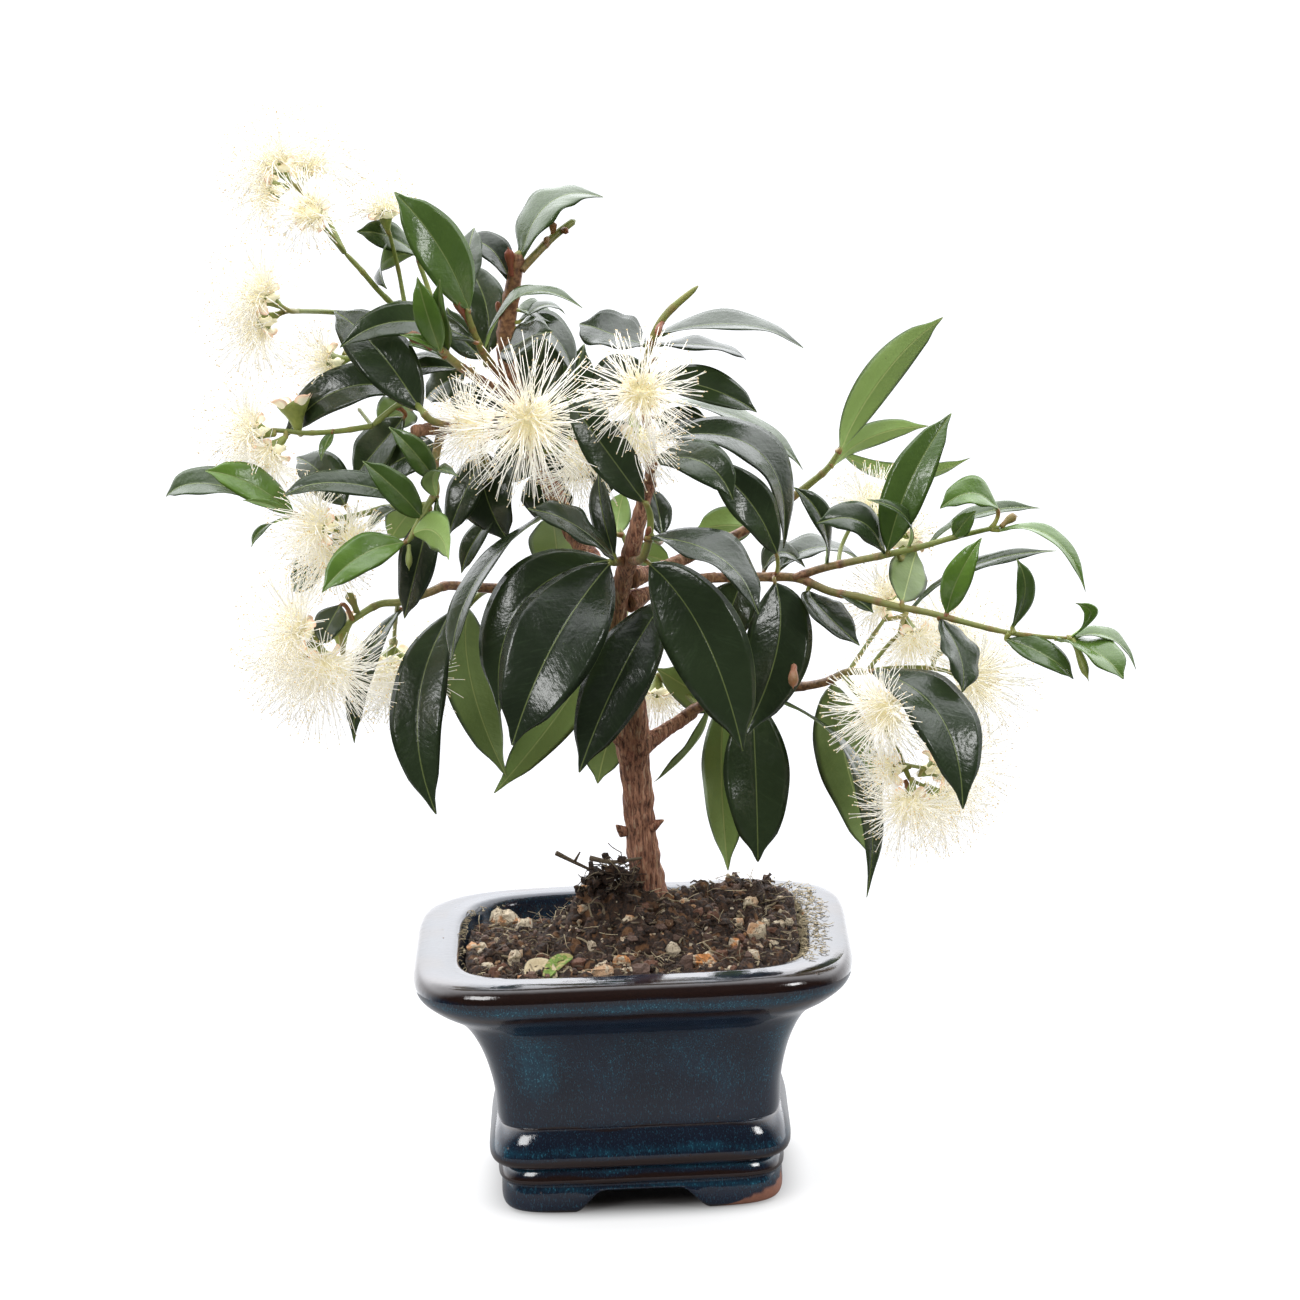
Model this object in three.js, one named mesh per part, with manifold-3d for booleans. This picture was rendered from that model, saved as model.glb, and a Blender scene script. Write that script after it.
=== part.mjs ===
// Brush cherry bonsai in a glazed square pot. Millimetres, +Z up, the front faces -Y.
// The pot is hollow and stands on four corner feet, soil fills it, and the tree stands in
// a hole in the soil. Leafy twigs sit on the wood and each flower head sits in its green cup.

import * as THREE from 'three';
import { mergeVertices } from 'three/addons/utils/BufferGeometryUtils.js';
import Module from 'manifold-3d';

const wasm = await Module();
wasm.setup();
const { Manifold, Mesh: SolidMesh } = wasm;

// Driving sizes of the pot
const RIM_HALF = 62;
const RIM_TOP = 71.8;
const FOOT_HALF = 40;
const FLOOR_TOP = 12;
const ARCH_HEIGHT = 5.8;
const ARCH_HALF = 15.5;
const FOOT_WALL = 9;
const DRAIN_RADIUS = 7;
const POT_AROUND = 28;
const RIM_SQUARENESS = 4.6;
const BODY_SQUARENESS = 6.5;

// Clearance kept between touching pieces
const GAP = 0.3;

// Where the viewer stands: places on the tree are given as seen from the front, by a column
// and a row on a 1300 wide view, and by a depth in millimetres behind the trunk's plane.
const VIEW = {
  middle: 650,
  focal: 5322.5,
  distance: 1500,
  tilt: THREE.MathUtils.degToRad(10.84),
  roll: THREE.MathUtils.degToRad(-2.47),
  aim: new THREE.Vector3(8.67, 0, 152.4),
};
const UP = new THREE.Vector3(0, 0, 1);
const TO_VIEWER = new THREE.Vector3(0, -Math.cos(VIEW.tilt), Math.sin(VIEW.tilt));
const EYE = VIEW.aim.clone().addScaledVector(TO_VIEWER, VIEW.distance);
const VIEW_UP = new THREE.Vector3(0, Math.sin(VIEW.tilt), Math.cos(VIEW.tilt))
  .applyAxisAngle(TO_VIEWER, VIEW.roll);
const VIEW_RIGHT = new THREE.Vector3(1, 0, 0).applyAxisAngle(TO_VIEWER, VIEW.roll);

// The point seen at a column and row, at a depth behind the trunk's plane.
function seenAt([column, row], depth) {
  const ray = TO_VIEWER.clone().negate()
    .addScaledVector(VIEW_RIGHT, (column - VIEW.middle) / VIEW.focal)
    .addScaledVector(VIEW_UP, (VIEW.middle - row) / VIEW.focal);
  return EYE.clone().addScaledVector(ray, (depth - EYE.y) / ray.y);
}

// Depths in the lists below are drawn out from the trunk's foot, which fills the crown out
// toward the viewer and to the back.
const TRUNK_DEPTH = 4;
const FULLNESS = 1.8;
const REACH_SHARE = 1.3;

function drawnOut(depth) {
  return TRUNK_DEPTH + (depth - TRUNK_DEPTH) * FULLNESS;
}

// Small repeatable random draws
function seededDraw(seed) {
  let state = seed;
  return () => {
    state = (state * 1664525 + 1013904223) % 4294967296;
    return state / 4294967296;
  };
}

// Solids

function solidOf(positions, indices) {
  let volume = 0;
  const corner = (k) => new THREE.Vector3().fromArray(positions, indices[k] * 3);
  for (let k = 0; k < indices.length; k += 3) {
    volume += corner(k).dot(corner(k + 1).cross(corner(k + 2)));
  }
  const facingOut = volume > 0 ? indices : indices.slice().reverse();
  return new Manifold(new SolidMesh({
    numProp: 3,
    vertProperties: new Float32Array(positions),
    triVerts: new Uint32Array(facingOut),
  }));
}

// Joins rings of equal length into a closed skin. A ring of one point closes to a tip.
// Every second strip is split the other way, so both faces of a thin blade are split alike.
function skinRings(rings, alikeSplits = false) {
  const positions = [];
  const indices = [];
  const starts = rings.map((ring) => {
    const start = positions.length / 3;
    ring.forEach((point) => positions.push(point.x, point.y, point.z));
    return start;
  });
  for (let i = 0; i + 1 < rings.length; i += 1) {
    const [low, high] = [rings[i].length, rings[i + 1].length];
    const sides = Math.max(low, high);
    for (let k = 0; k < sides; k += 1) {
      const next = (k + 1) % sides;
      const [a, b] = [starts[i] + (k % low), starts[i] + (next % low)];
      const [d, c] = [starts[i + 1] + (k % high), starts[i + 1] + (next % high)];
      if (low === 1) indices.push(a, c, d);
      else if (high === 1) indices.push(a, b, c);
      else if (alikeSplits && k % 2 === 1) indices.push(a, b, d, b, c, d);
      else indices.push(a, b, c, a, c, d);
    }
  }
  const cap = (ring, start, flip) => {
    for (let k = 1; k + 1 < ring.length; k += 1) {
      if (flip) indices.push(start, start + k + 1, start + k);
      else indices.push(start, start + k, start + k + 1);
    }
  };
  cap(rings[0], starts[0], true);
  cap(rings.at(-1), starts.at(-1), false);
  return solidOf(positions, indices);
}

function acrossTo(direction, along) {
  return direction.clone().addScaledVector(along, -direction.dot(along)).normalize();
}

// A round tube along a curve, its radius read from a function of the way along. A ridge swells
// every second side and pinches the others.
function taperedTube(curve, radiusAt, steps, sides, ridge = 0) {
  const first = curve.getTangent(0);
  let side = acrossTo(Math.abs(first.z) > 0.8 ? VIEW_RIGHT : UP, first);
  const rings = Array.from({ length: steps + 1 }, (_, i) => {
    const along = curve.getTangent(i / steps);
    side = acrossTo(side, along);
    const other = new THREE.Vector3().crossVectors(along, side);
    return Array.from({ length: sides }, (__, k) => {
      const angle = (k / sides) * Math.PI * 2;
      const radius = radiusAt(i / steps) * (1 + ridge * (k % 2 === 0 ? 1 : -1));
      return curve.getPoint(i / steps)
        .addScaledVector(side, Math.cos(angle) * radius)
        .addScaledVector(other, Math.sin(angle) * radius);
    });
  });
  return skinRings(rings);
}

function curveThrough(points) {
  return new THREE.CatmullRomCurve3(points, false, 'centripetal');
}

function joined(solids) {
  return solids.reduce((whole, solid) => whole.add(solid));
}

// The largest body of a solid, without the loose scraps that a cut leaves.
function largestBody(solid) {
  const bodies = solid.decompose();
  return bodies.reduce((best, body) => (body.volume() > best.volume() ? body : best));
}

// Closes up the very short edges that a join leaves where two pieces graze each other. The
// least length falls until what is left is a closed body.
const SHORT_EDGES = [0.06, 0.03, 0.015, 0.006];

function withoutShortEdges(solid) {
  const mesh = solid.getMesh();
  const stride = mesh.numProp;
  const count = mesh.vertProperties.length / stride;
  const places = Array.from({ length: count }, (_, k) => (
    new THREE.Vector3().fromArray(mesh.vertProperties, k * stride)));
  for (const shortest of SHORT_EDGES) {
    const joinedTo = places.map((_, k) => k);
    const ownerOf = (k) => {
      let owner = k;
      while (joinedTo[owner] !== owner) owner = joinedTo[owner];
      return owner;
    };
    const order = Array.from(mesh.triVerts);
    for (let k = 0; k < order.length; k += 1) {
      const next = k % 3 === 2 ? k - 2 : k + 1;
      const [a, b] = [ownerOf(order[k]), ownerOf(order[next])];
      if (a !== b && places[a].distanceTo(places[b]) < shortest) joinedTo[Math.max(a, b)] = Math.min(a, b);
    }
    const kept = [];
    for (let k = 0; k < order.length; k += 3) {
      const [a, b, c] = order.slice(k, k + 3).map(ownerOf);
      if (a !== b && b !== c && c !== a) kept.push(a, b, c);
    }
    const closed = closedBody(places.flatMap((point) => point.toArray()), kept);
    if (closed) return closed;
  }
  return solid;
}

// The body of a skin, or nothing where the skin isn't closed.
function closedBody(positions, indices) {
  try {
    return solidOf(positions, indices);
  } catch {
    return null;
  }
}

// Pot: rounded-square rings as [height, half-width], from the foot up the outside and over the
// lip, then down the inside.
const POT_OUTSIDE = [
  [0, 38], [2.2, 39.8], [8.4, 39.4], [11.2, 40.6], [13.6, 39.1], [18, 42.2], [22.4, 42.3],
  [26.4, 40.1], [36, 40.8], [47, 44.2], [55, 49.2], [60, 56.6], [64, 61],
  [68.2, RIM_HALF], [70.6, 60], [RIM_TOP, 53],
];
const POT_INSIDE = [
  [70.9, 49.6], [66, 48], [58, 45], [38, 36.6], [FLOOR_TOP, 34.6],
];

// Half-width of the pot's hollow at a height.
function hollowHalf(height) {
  const rows = POT_INSIDE;
  for (let i = 0; i + 1 < rows.length; i += 1) {
    const [[highZ, highHalf], [lowZ, lowHalf]] = [rows[i], rows[i + 1]];
    if (height >= lowZ) {
      return THREE.MathUtils.mapLinear(Math.min(height, highZ), lowZ, highZ, lowHalf, highHalf);
    }
  }
  return rows.at(-1)[1];
}

function squareness(height) {
  return THREE.MathUtils.lerp(BODY_SQUARENESS, RIM_SQUARENESS, THREE.MathUtils.smoothstep(height, 30, RIM_TOP));
}

// A point of a rounded square of a half-width, at an angle. Its corners get more points.
function roundedSquare(half, angle, power) {
  const turned = angle + 0.13 * Math.sin(4 * angle);
  const [c, s] = [Math.cos(turned), Math.sin(turned)];
  const stretch = half / (Math.abs(c) ** power + Math.abs(s) ** power) ** (1 / power);
  return [c * stretch, s * stretch];
}

function squareRing(height, half, count = POT_AROUND) {
  return Array.from({ length: count }, (_, k) => {
    const [x, y] = roundedSquare(half, ((k + 0.5) / count) * Math.PI * 2, squareness(height));
    return new THREE.Vector3(x, y, height);
  });
}

function makePot() {
  const floorCentre = [new THREE.Vector3(0, 0, FLOOR_TOP)];
  const rings = [...POT_OUTSIDE, ...POT_INSIDE].map(([height, half]) => squareRing(height, half));
  const vessel = skinRings([...rings, floorCentre]);
  const below = -5;
  const recess = skinRings([below, ARCH_HEIGHT].map((z) => squareRing(z, FOOT_HALF - FOOT_WALL, 24)));
  const arch = new THREE.Shape();
  const shoulder = 3.4;
  arch.moveTo(-ARCH_HALF - shoulder, below);
  arch.lineTo(-ARCH_HALF - shoulder, 0);
  arch.quadraticCurveTo(-ARCH_HALF - 0.5, 0.4, -ARCH_HALF + 1.5, ARCH_HEIGHT);
  arch.lineTo(ARCH_HALF - 1.5, ARCH_HEIGHT);
  arch.quadraticCurveTo(ARCH_HALF + 0.5, 0.4, ARCH_HALF + shoulder, 0);
  arch.lineTo(ARCH_HALF + shoulder, below);
  arch.closePath();
  const archBody = new THREE.ExtrudeGeometry(arch, { depth: 120, bevelEnabled: false, curveSegments: 4 });
  archBody.translate(0, 0, -60);
  archBody.rotateX(Math.PI / 2);
  const archThrough = solidOfGeometry(archBody);
  const drain = new THREE.CylinderGeometry(DRAIN_RADIUS, DRAIN_RADIUS, 4 * FLOOR_TOP, 18);
  drain.rotateX(Math.PI / 2);
  return vessel.subtract(recess)
    .subtract(archThrough)
    .subtract(archThrough.rotate([0, 0, 90]))
    .subtract(solidOfGeometry(drain));
}

// A closed three.js geometry as a solid, its doubled corners merged by place.
function solidOfGeometry(geometry) {
  geometry.deleteAttribute('normal');
  geometry.deleteAttribute('uv');
  const merged = mergeVertices(geometry, 1e-4);
  const order = Array.from(merged.index.array);
  const kept = [];
  for (let k = 0; k < order.length; k += 3) {
    const [a, b, c] = order.slice(k, k + 3);
    if (a !== b && b !== c && c !== a) kept.push(a, b, c);
  }
  return solidOf(Array.from(merged.getAttribute('position').array), kept);
}

// Soil: a mound, highest round the trunk and to its left, lower at the front and back edges.
const SOIL_EDGE = 67.5;
const MOUNDS = [
  { x: 4, y: 4, rise: 13.5, across: 26, deep: 24 },
  { x: -10, y: 6, rise: 6.5, across: 9, deep: 9 },
  { x: 31, y: 22, rise: 8, across: 15, deep: 15 },
  { x: -38, y: -12, rise: 2, across: 14, deep: 20 },
  { x: -24, y: 38, rise: -9, across: 12, deep: 9 },
];
const SOIL_SHARES = [1, 0.76, 0.5, 0.25];

function soilHeight(x, y) {
  return MOUNDS.reduce((height, mound) => height + mound.rise
    * Math.exp(-(((x - mound.x) / mound.across) ** 2) - (((y - mound.y) / mound.deep) ** 2)), SOIL_EDGE);
}

function makeSoil(wood) {
  const draw = seededDraw(7);
  const bottom = FLOOR_TOP + GAP;
  const edge = 64;
  const walls = [bottom, 38, 58].map((z) => squareRing(z, hollowHalf(z) - 1.5 * GAP));
  const tops = SOIL_SHARES.map((share, row) => squareRing(edge, hollowHalf(edge) - 1.5 * GAP)
    .map((point) => {
      const [x, y] = [point.x * share, point.y * share];
      const pebble = row === 0 ? 0 : (draw() - 0.5) * 2.4;
      return new THREE.Vector3(x, y, soilHeight(x, y) + pebble);
    }));
  const peak = [new THREE.Vector3(0, 0, soilHeight(0, 0))];
  const foot = [new THREE.Vector3(0, 0, bottom)];
  return largestBody(skinRings([foot, ...walls, ...tops, peak]).subtract(wood));
}

// Wood: each branch lists the places it passes as [column, row, depth, radius].
const WOOD = {
  trunk: [[652, 945, 7, 4.2], [650, 905, 6, 6.2], [648, 884, 6, 5.3], [641, 840, 5, 4.7], [636, 785, 4, 4.5],
    [632, 745, 3, 4.9], [632, 700, 1, 4.1], [617, 640, -1, 3.9], [619, 595, -3, 3.3], [630, 556, -6, 3.4],
    [640, 515, -9, 2.8], [650, 483, -11, 2.1]],
  left_leader: [[612, 612, -1, 3.2], [593, 562, 5, 2.9], [572, 530, 9, 2.7], [548, 480, 12, 2.6],
    [522, 415, 12, 2.5], [508, 360, 10, 2.6], [506, 348, 9, 2.6]],
  left_low: [[612, 602, -1, 2.6], [580, 590, 4, 2.3], [540, 588, 7, 2.2], [497, 589, 6, 2.1]],
  left_stub: [[526, 436, 12, 1.9], [480, 430, 3, 1.8], [445, 427, -4, 1.8], [416, 431, -12, 1.7]],
  right: [[628, 602, -2, 2.6], [655, 591, 2, 2.2], [685, 582, 5, 2.1], [716, 577, 6, 2]],
  right_upper: [[630, 578, -3, 2.4], [664, 567, 4, 2], [690, 556, 8, 1.8], [714, 543, 10, 1.6]],
  right_low: [[634, 748, 2, 2.6], [652, 739, 3, 2.2], [672, 726, 4, 1.9], [694, 711, 5, 1.8]],
  left_knob: [[624, 832, 4, 1.6], [616, 825, 2, 1.1]],
  right_knob: [[652, 826, 4, 1.6], [664, 820, 3, 1.1]],
  middle_knob: [[622, 742, 2, 2.2], [611, 738, 0, 1.3]],
};
const ROOTS = [
  { heading: 20, spread: 24, drop: 26 },
  { heading: 110, spread: 22, drop: 30 },
  { heading: 200, spread: 24, drop: 27 },
  { heading: 290, spread: 22, drop: 30 },
];

function makeWood(swell) {
  const branches = Object.entries(WOOD).map(([name, route]) => {
    const curve = curveThrough(route.map(([column, row, depth]) => seenAt([column, row], drawnOut(depth))));
    const last = route.length - 1;
    const radiusAt = (way) => {
      const index = Math.min(Math.floor(way * last), last - 1);
      return THREE.MathUtils.lerp(route[index][3], route[index + 1][3], way * last - index) + swell;
    };
    const isTrunk = name === 'trunk';
    return taperedTube(curve, radiusAt, last, isTrunk ? 9 : 5, 0);
  });
  const [column, row, depth] = WOOD.trunk[1];
  const crown = seenAt([column, row], drawnOut(depth));
  const roots = ROOTS.map(({ heading, spread, drop }) => {
    const angle = THREE.MathUtils.degToRad(heading);
    const outward = new THREE.Vector3(Math.cos(angle), Math.sin(angle), 0);
    const route = [crown.clone(), crown.clone().addScaledVector(outward, spread * 0.5).setZ(crown.z - drop * 0.35),
      crown.clone().addScaledVector(outward, spread).setZ(crown.z - drop)];
    return taperedTube(curveThrough(route), (way) => 3.2 * (1 - way) + 0.9 + swell, 2, 4);
  });
  return joined([...branches, ...roots]);
}

// Twigs. Each lists its stems (routes as [column, row, depth], with the radius at both ends), its
// leaves and its flowers. A leaf runs from its base to its tip: over is a place half way along,
// reach is how much deeper the tip lies, wide its full width, turn the angle that its upper face
// is turned from the viewer (0 faces the viewer, 90 is edge on, 180 shows the underside), lift
// moves its base deeper, and age runs from 0 for a thin new leaf to 1 for a thick old one.
// A flower has the place and depth of its cup's mouth, the way it faces and its stamens' reach.
// One with no stamens left is an empty cup.
const TWIGS = {
  twig_leader_top: {
    stems: [
      { route: [[507, 352, 9], [506, 335, 9], [510, 305, 8], [514, 280, 6], [519, 251, 5]], from: 2.5, to: 1.8 },
      { route: [[521, 270, 5], [535, 255, 6], [553, 237, 8], [575, 220, 10]], from: 1.2, to: 1 },
    ],
    leaves: [
      { base: [524, 262], over: [545, 212], tip: [603, 206], reach: 14, wide: 13, turn: 50, age: 0.6 },
      { base: [511, 283], over: [490, 248], tip: [464, 243], reach: 6, wide: 10, turn: 40, age: 0.8 },
      { base: [520, 321], over: [545, 305], tip: [566, 314], reach: 6, wide: 7, turn: 70, age: 0.6 },
      { base: [518, 310], tip: [559, 327], reach: 14, wide: 9, turn: 55, age: 0.5 },
      { base: [503, 352], over: [525, 340], tip: [550, 329], reach: -10, wide: 11, turn: 35, age: 0.9, lift: -3 },
      { base: [522, 328], over: [553, 335], tip: [577, 377], reach: 4, wide: 13, turn: 50, age: 0.8 },
    ],
    flowers: [],
  },
  twig_crown_left: {
    stems: [
      { route: [[506, 380, 11], [488, 360, 3], [479, 344, -2], [472, 328, -5], [466, 308, -8]], from: 1.4, to: 0.8 },
    ],
    leaves: [
      { base: [468, 309], over: [441, 250], tip: [396, 192], reach: -6, wide: 15.5, turn: 20, age: 0.4 },
      { base: [474, 342], over: [405, 321], tip: [340, 345], reach: -5, wide: 11, turn: 32, age: 0.6, lift: -2, arch: 0.04 },
      { base: [484, 347], over: [523, 294], tip: [582, 306], reach: -6, wide: 9, turn: 72, age: 0.5 },
      { base: [488, 352], over: [486, 305], tip: [466, 262], reach: 9, wide: 12.5, turn: 10, age: 0.7, lift: 10 },
      { base: [484, 358], over: [460, 335], tip: [447, 307], reach: 3, wide: 9, turn: 15, age: 0.8, lift: 2 },
      { base: [466, 300], tip: [474, 227], reach: 12, wide: 9, turn: 20, age: 0.6, lift: 4 },
    ],
    flowers: [],
  },
  twig_upper_left: {
    stems: [
      { route: [[516, 398, 12], [490, 386, 5], [468, 372, -1], [452, 360, -5], [436, 345, -9]], from: 1.5, to: 1 },
      { route: [[436, 345, -9], [425, 334, -4], [412, 322, -2], [380, 292, -4], [361, 270, -6], [344, 252, -7]],
        from: 0.9, to: 0.8 },
      { route: [[448, 357, -6], [438, 322, 0], [430, 294, 2], [416, 254, 3]], from: 0.8, to: 0.6 },
      { route: [[408, 318, -2.4], [404, 300, -2], [398, 268, -1], [387, 224, -2]], from: 0.7, to: 0.5 },
      { route: [[344, 252, -7], [331, 236, -10], [321, 224, -12]], from: 0.8, to: 0.6 },
      { route: [[344, 252, -7], [335, 233, -4], [320, 206, 1], [300, 189, 2]], from: 0.7, to: 0.6 },
      { route: [[412, 322, -2], [385, 322, 5], [350, 314, 8], [328, 312, 6], [289, 311, -4]], from: 0.8, to: 0.7 },
      { route: [[350, 314, 8], [353, 336, 6], [342, 357, 4]], from: 0.7, to: 0.6 },
    ],
    leaves: [
      { base: [440, 350], tip: [417, 278], reach: -6, wide: 7.5, turn: 10, age: 0.3, lift: -2 },
      { base: [446, 353], tip: [439, 281], reach: -12, wide: 6.5, turn: 20, age: 0.3 },
      { base: [442, 351], tip: [402, 334], reach: -7, wide: 3, turn: 30, age: 0 },
      { base: [443, 357], tip: [404, 342], reach: 4, wide: 5, turn: 60, age: 0.3 },
      { base: [452, 362], tip: [404, 359], reach: 8, wide: 5, turn: 70, age: 0.8, lift: 2 },
      { base: [458, 369], tip: [405, 371], reach: 6, wide: 7, turn: 40, age: 0.8, lift: 2 },
      { base: [425, 340], tip: [388, 300], reach: 8, wide: 9, turn: 10, age: 0.8, lift: 4 },
      { base: [419, 255], over: [390, 237], tip: [358, 230], reach: -5, wide: 9, turn: 35, age: 0.5 },
      { base: [418, 252], over: [383, 262], tip: [386, 289], reach: -12, wide: 9, turn: 110, age: 0.6 },
    ],
    flowers: [
      { at: [279, 167], depth: 0, face: [-0.55, 0, 0.85], reach: 16 },
      { at: [275, 190], depth: 4, face: [-1, 0.1, -0.2], reach: 13 },
      { at: [312, 213], depth: -15, face: [-0.3, -0.9, 0.35], reach: 12.5 },
      { at: [304, 172], depth: 8, face: [0.3, 0.1, 1], reach: 16.5 },
      { at: [385, 213], depth: -2, face: [-0.1, 0, 1], reach: 10 },
      { at: [267, 297], depth: -6, face: [-0.75, -0.15, 0.6], reach: 16.5 },
      { at: [264, 321], depth: -4, face: [-0.9, 0.1, -0.4], reach: 17 },
      { at: [333, 362], depth: 2, face: [-0.9, 0.1, -0.15], reach: 12.5 },
    ],
  },
  twig_mid_left: {
    stems: [
      { route: [[452, 427, -3], [438, 423, -9], [428, 418, -11], [421, 410, -11]], from: 1.4, to: 1 },
      { route: [[425, 414, -11], [413, 403, -6], [400, 404, -4], [386, 414, -4], [372, 426, -4]], from: 0.9, to: 0.8 },
      { route: [[372, 426, -4], [340, 431, -5], [305, 433, -6], [285, 431, -7], [268, 430, -8]], from: 0.8, to: 0.6 },
      { route: [[372, 426, -4], [358, 408, 2]], from: 0.6, to: 0.5 },
    ],
    leaves: [
      { base: [421, 411], over: [378, 350], tip: [334, 309], reach: 11, wide: 16.5, turn: 15, age: 1, arch: 0.1, lift: 2 },
      { base: [412, 396], over: [345, 388], tip: [279, 437], reach: 3, wide: 13, turn: 35, age: 0.9, lift: 3 },
      { base: [410, 409], tip: [377, 425], reach: 9, wide: 12, turn: 150, age: 0.5, lift: 8 },
      { base: [404, 418], over: [376, 450], tip: [353, 479], reach: 8, wide: 13, turn: 25, age: 0.9, lift: 2 },
      { base: [333, 432], tip: [320, 460], reach: -3, wide: 3.6, turn: 30, age: 0.3 },
    ],
    flowers: [
      { at: [257, 431], depth: -8, face: [-1, 0, 0.25], reach: 15.5 },
      { at: [273, 449], depth: -8, face: [-0.7, -0.2, -0.6], reach: 13 },
      { at: [294, 408], depth: -3, face: [-0.15, 0.1, 1], reach: 0 },
    ],
  },
  twig_far_left: {
    stems: [
      { route: [[444, 429, -4], [438, 444, -8], [434, 475, -12], [436, 492, -14], [428, 505, -15], [408, 543, -18]],
        from: 1.3, to: 0.8 },
      { route: [[428, 505, -15], [405, 507, -11], [385, 508, -7], [350, 517, -6], [320, 519, -9], [290, 514, -11]],
        from: 1, to: 0.7 },
      { route: [[350, 517, -6], [345, 527, -9], [338, 537, -10]], from: 0.7, to: 0.6 },
    ],
    leaves: [
      { base: [434, 478], tip: [390, 427], reach: -7, wide: 7.5, turn: 20, age: 0.4 },
      { base: [421, 517], tip: [363, 461], reach: -9, wide: 9, turn: 20, age: 0.4 },
      { base: [424, 506], over: [345, 483], tip: [281, 494], reach: -2, wide: 9, turn: 45, age: 0.7 },
      { base: [403, 543], over: [360, 556], tip: [322, 592], reach: -9, wide: 11, turn: 15, age: 0.2 },
      { base: [414, 534], over: [436, 532], tip: [452, 560], reach: -15, wide: 11, turn: 150, age: 0.2 },
      { base: [436, 497], over: [434, 472], tip: [457, 474], reach: -8, wide: 8, turn: 100, age: 0.5 },
      { base: [437, 498], tip: [441, 524], reach: -4, wide: 4.5, turn: 60, age: 0.5 },
      { base: [430, 512], over: [418, 562], tip: [403, 619], reach: 2, wide: 11.5, turn: 20, age: 1, lift: 3 },
      { base: [436, 446], tip: [384, 470], reach: 8, wide: 13, turn: 25, age: 1, lift: 3 },
      { base: [293, 514], over: [252, 484], tip: [206, 470], reach: -6, wide: 11, turn: 30, age: 0.2 },
      { base: [292, 513], over: [212, 484], tip: [165, 496], reach: 8, wide: 11, turn: 50, age: 0.5 },
      { base: [292, 516], tip: [243, 500], reach: -10, wide: 3, turn: 40, age: 0 },
      { base: [293, 517], over: [266, 526], tip: [250, 545], reach: -4, wide: 3.6, turn: 70, age: 0.4 },
      { base: [345, 505], over: [322, 474], tip: [296, 456], reach: 9, wide: 13, turn: 10, age: 0.6, lift: 5 },
      { base: [412, 509], tip: [389, 541], reach: 8, wide: 10, turn: 165, age: 0.4, lift: 4 },
      { base: [398, 508], tip: [366, 531], reach: 4, wide: 6, turn: 60, age: 0.7 },
      { base: [330, 550], tip: [291, 592], reach: 8, wide: 9, turn: 15, age: 0.5, lift: 8 },
    ],
    flowers: [
      { at: [325, 527], depth: -13, face: [-0.95, -0.2, 0.25], reach: 15.5 },
      { at: [331, 549], depth: -12, face: [-0.5, -0.2, -0.8], reach: 14 },
      { at: [352, 542], depth: -12, face: [0.4, -0.4, 0.8], reach: 10 },
    ],
  },
  twig_low_left: {
    stems: [
      { route: [[506, 589, 6], [470, 587, 2], [445, 586, -2], [430, 592, -4], [400, 602, -5], [380, 604, -6],
        [357, 617, -8], [338, 632, -9], [325, 643, -10]], from: 2.1, to: 0.8 },
      { route: [[398, 602, -5], [395, 625, 4], [394, 645, 8]], from: 0.7, to: 0.6 },
      { route: [[489, 588.5, 4.2], [478, 596, 7], [466, 608, 6]], from: 1, to: 0.8 },
    ],
    leaves: [
      { base: [401, 610], over: [364, 667], tip: [354, 743], reach: -12, wide: 8, turn: 40, age: 0.9 },
      { base: [340, 606], tip: [321, 645], reach: -6, wide: 9, turn: 20, age: 1, lift: -3 },
      { base: [467, 608], over: [471, 682], tip: [505, 775], reach: 8, wide: 15, turn: 165, age: 0.6 },
      { base: [452, 612], over: [418, 708], tip: [435, 814], reach: -14, wide: 16, turn: 15, age: 1, lift: -6 },
    ],
    flowers: [
      { at: [303, 633], depth: -13, face: [-0.95, -0.15, 0.35], reach: 18 },
      { at: [303, 652], depth: -12, face: [-0.75, -0.3, -0.6], reach: 18 },
      { at: [321, 657], depth: -12, face: [0.2, -0.4, -0.9], reach: 22 },
      { at: [339, 625], depth: 0, face: [-0.1, 0.2, 1], reach: 0 },
      { at: [386, 660], depth: 9, face: [-0.5, -0.2, -0.8], reach: 17 },
      { at: [400, 661], depth: 12, face: [0.35, 0.3, -0.9], reach: 19 },
    ],
  },
  twig_fork_left: {
    stems: [
      { route: [[622, 561, -6], [612, 562, -10]], from: 1.4, to: 1.1 },
    ],
    leaves: [
      { base: [609, 565], over: [553, 645], tip: [512, 744], reach: -16, wide: 26, turn: 5, age: 1 },
      { base: [608, 561], over: [521, 606], tip: [497, 712], reach: -5, wide: 19, turn: 20, age: 1, lift: 3 },
      { base: [613, 559], over: [578, 527], tip: [530, 506], reach: -8, wide: 13, turn: 60, age: 1, lift: -2 },
      { base: [614, 554], tip: [598, 472], reach: 6, wide: 8, turn: 30, age: 0.9 },
    ],
    flowers: [],
  },
  twig_trunk_top: {
    stems: [
      { route: [[632, 561, -7], [643, 557, -12], [649, 538, -14], [650, 515, -15], [645, 501, -16]], from: 1.3, to: 0.8 },
    ],
    leaves: [
      { base: [650, 564], over: [706, 640], tip: [742, 752], reach: -12, wide: 23, turn: 10, age: 1 },
      { base: [651, 538], over: [718, 556], tip: [761, 610], reach: -8, wide: 12.5, turn: 38, age: 0.8, lift: -3 },
      { base: [643, 501], over: [606, 450], tip: [571, 401], reach: -14, wide: 15, turn: 10, age: 0.9, lift: -3 },
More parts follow.
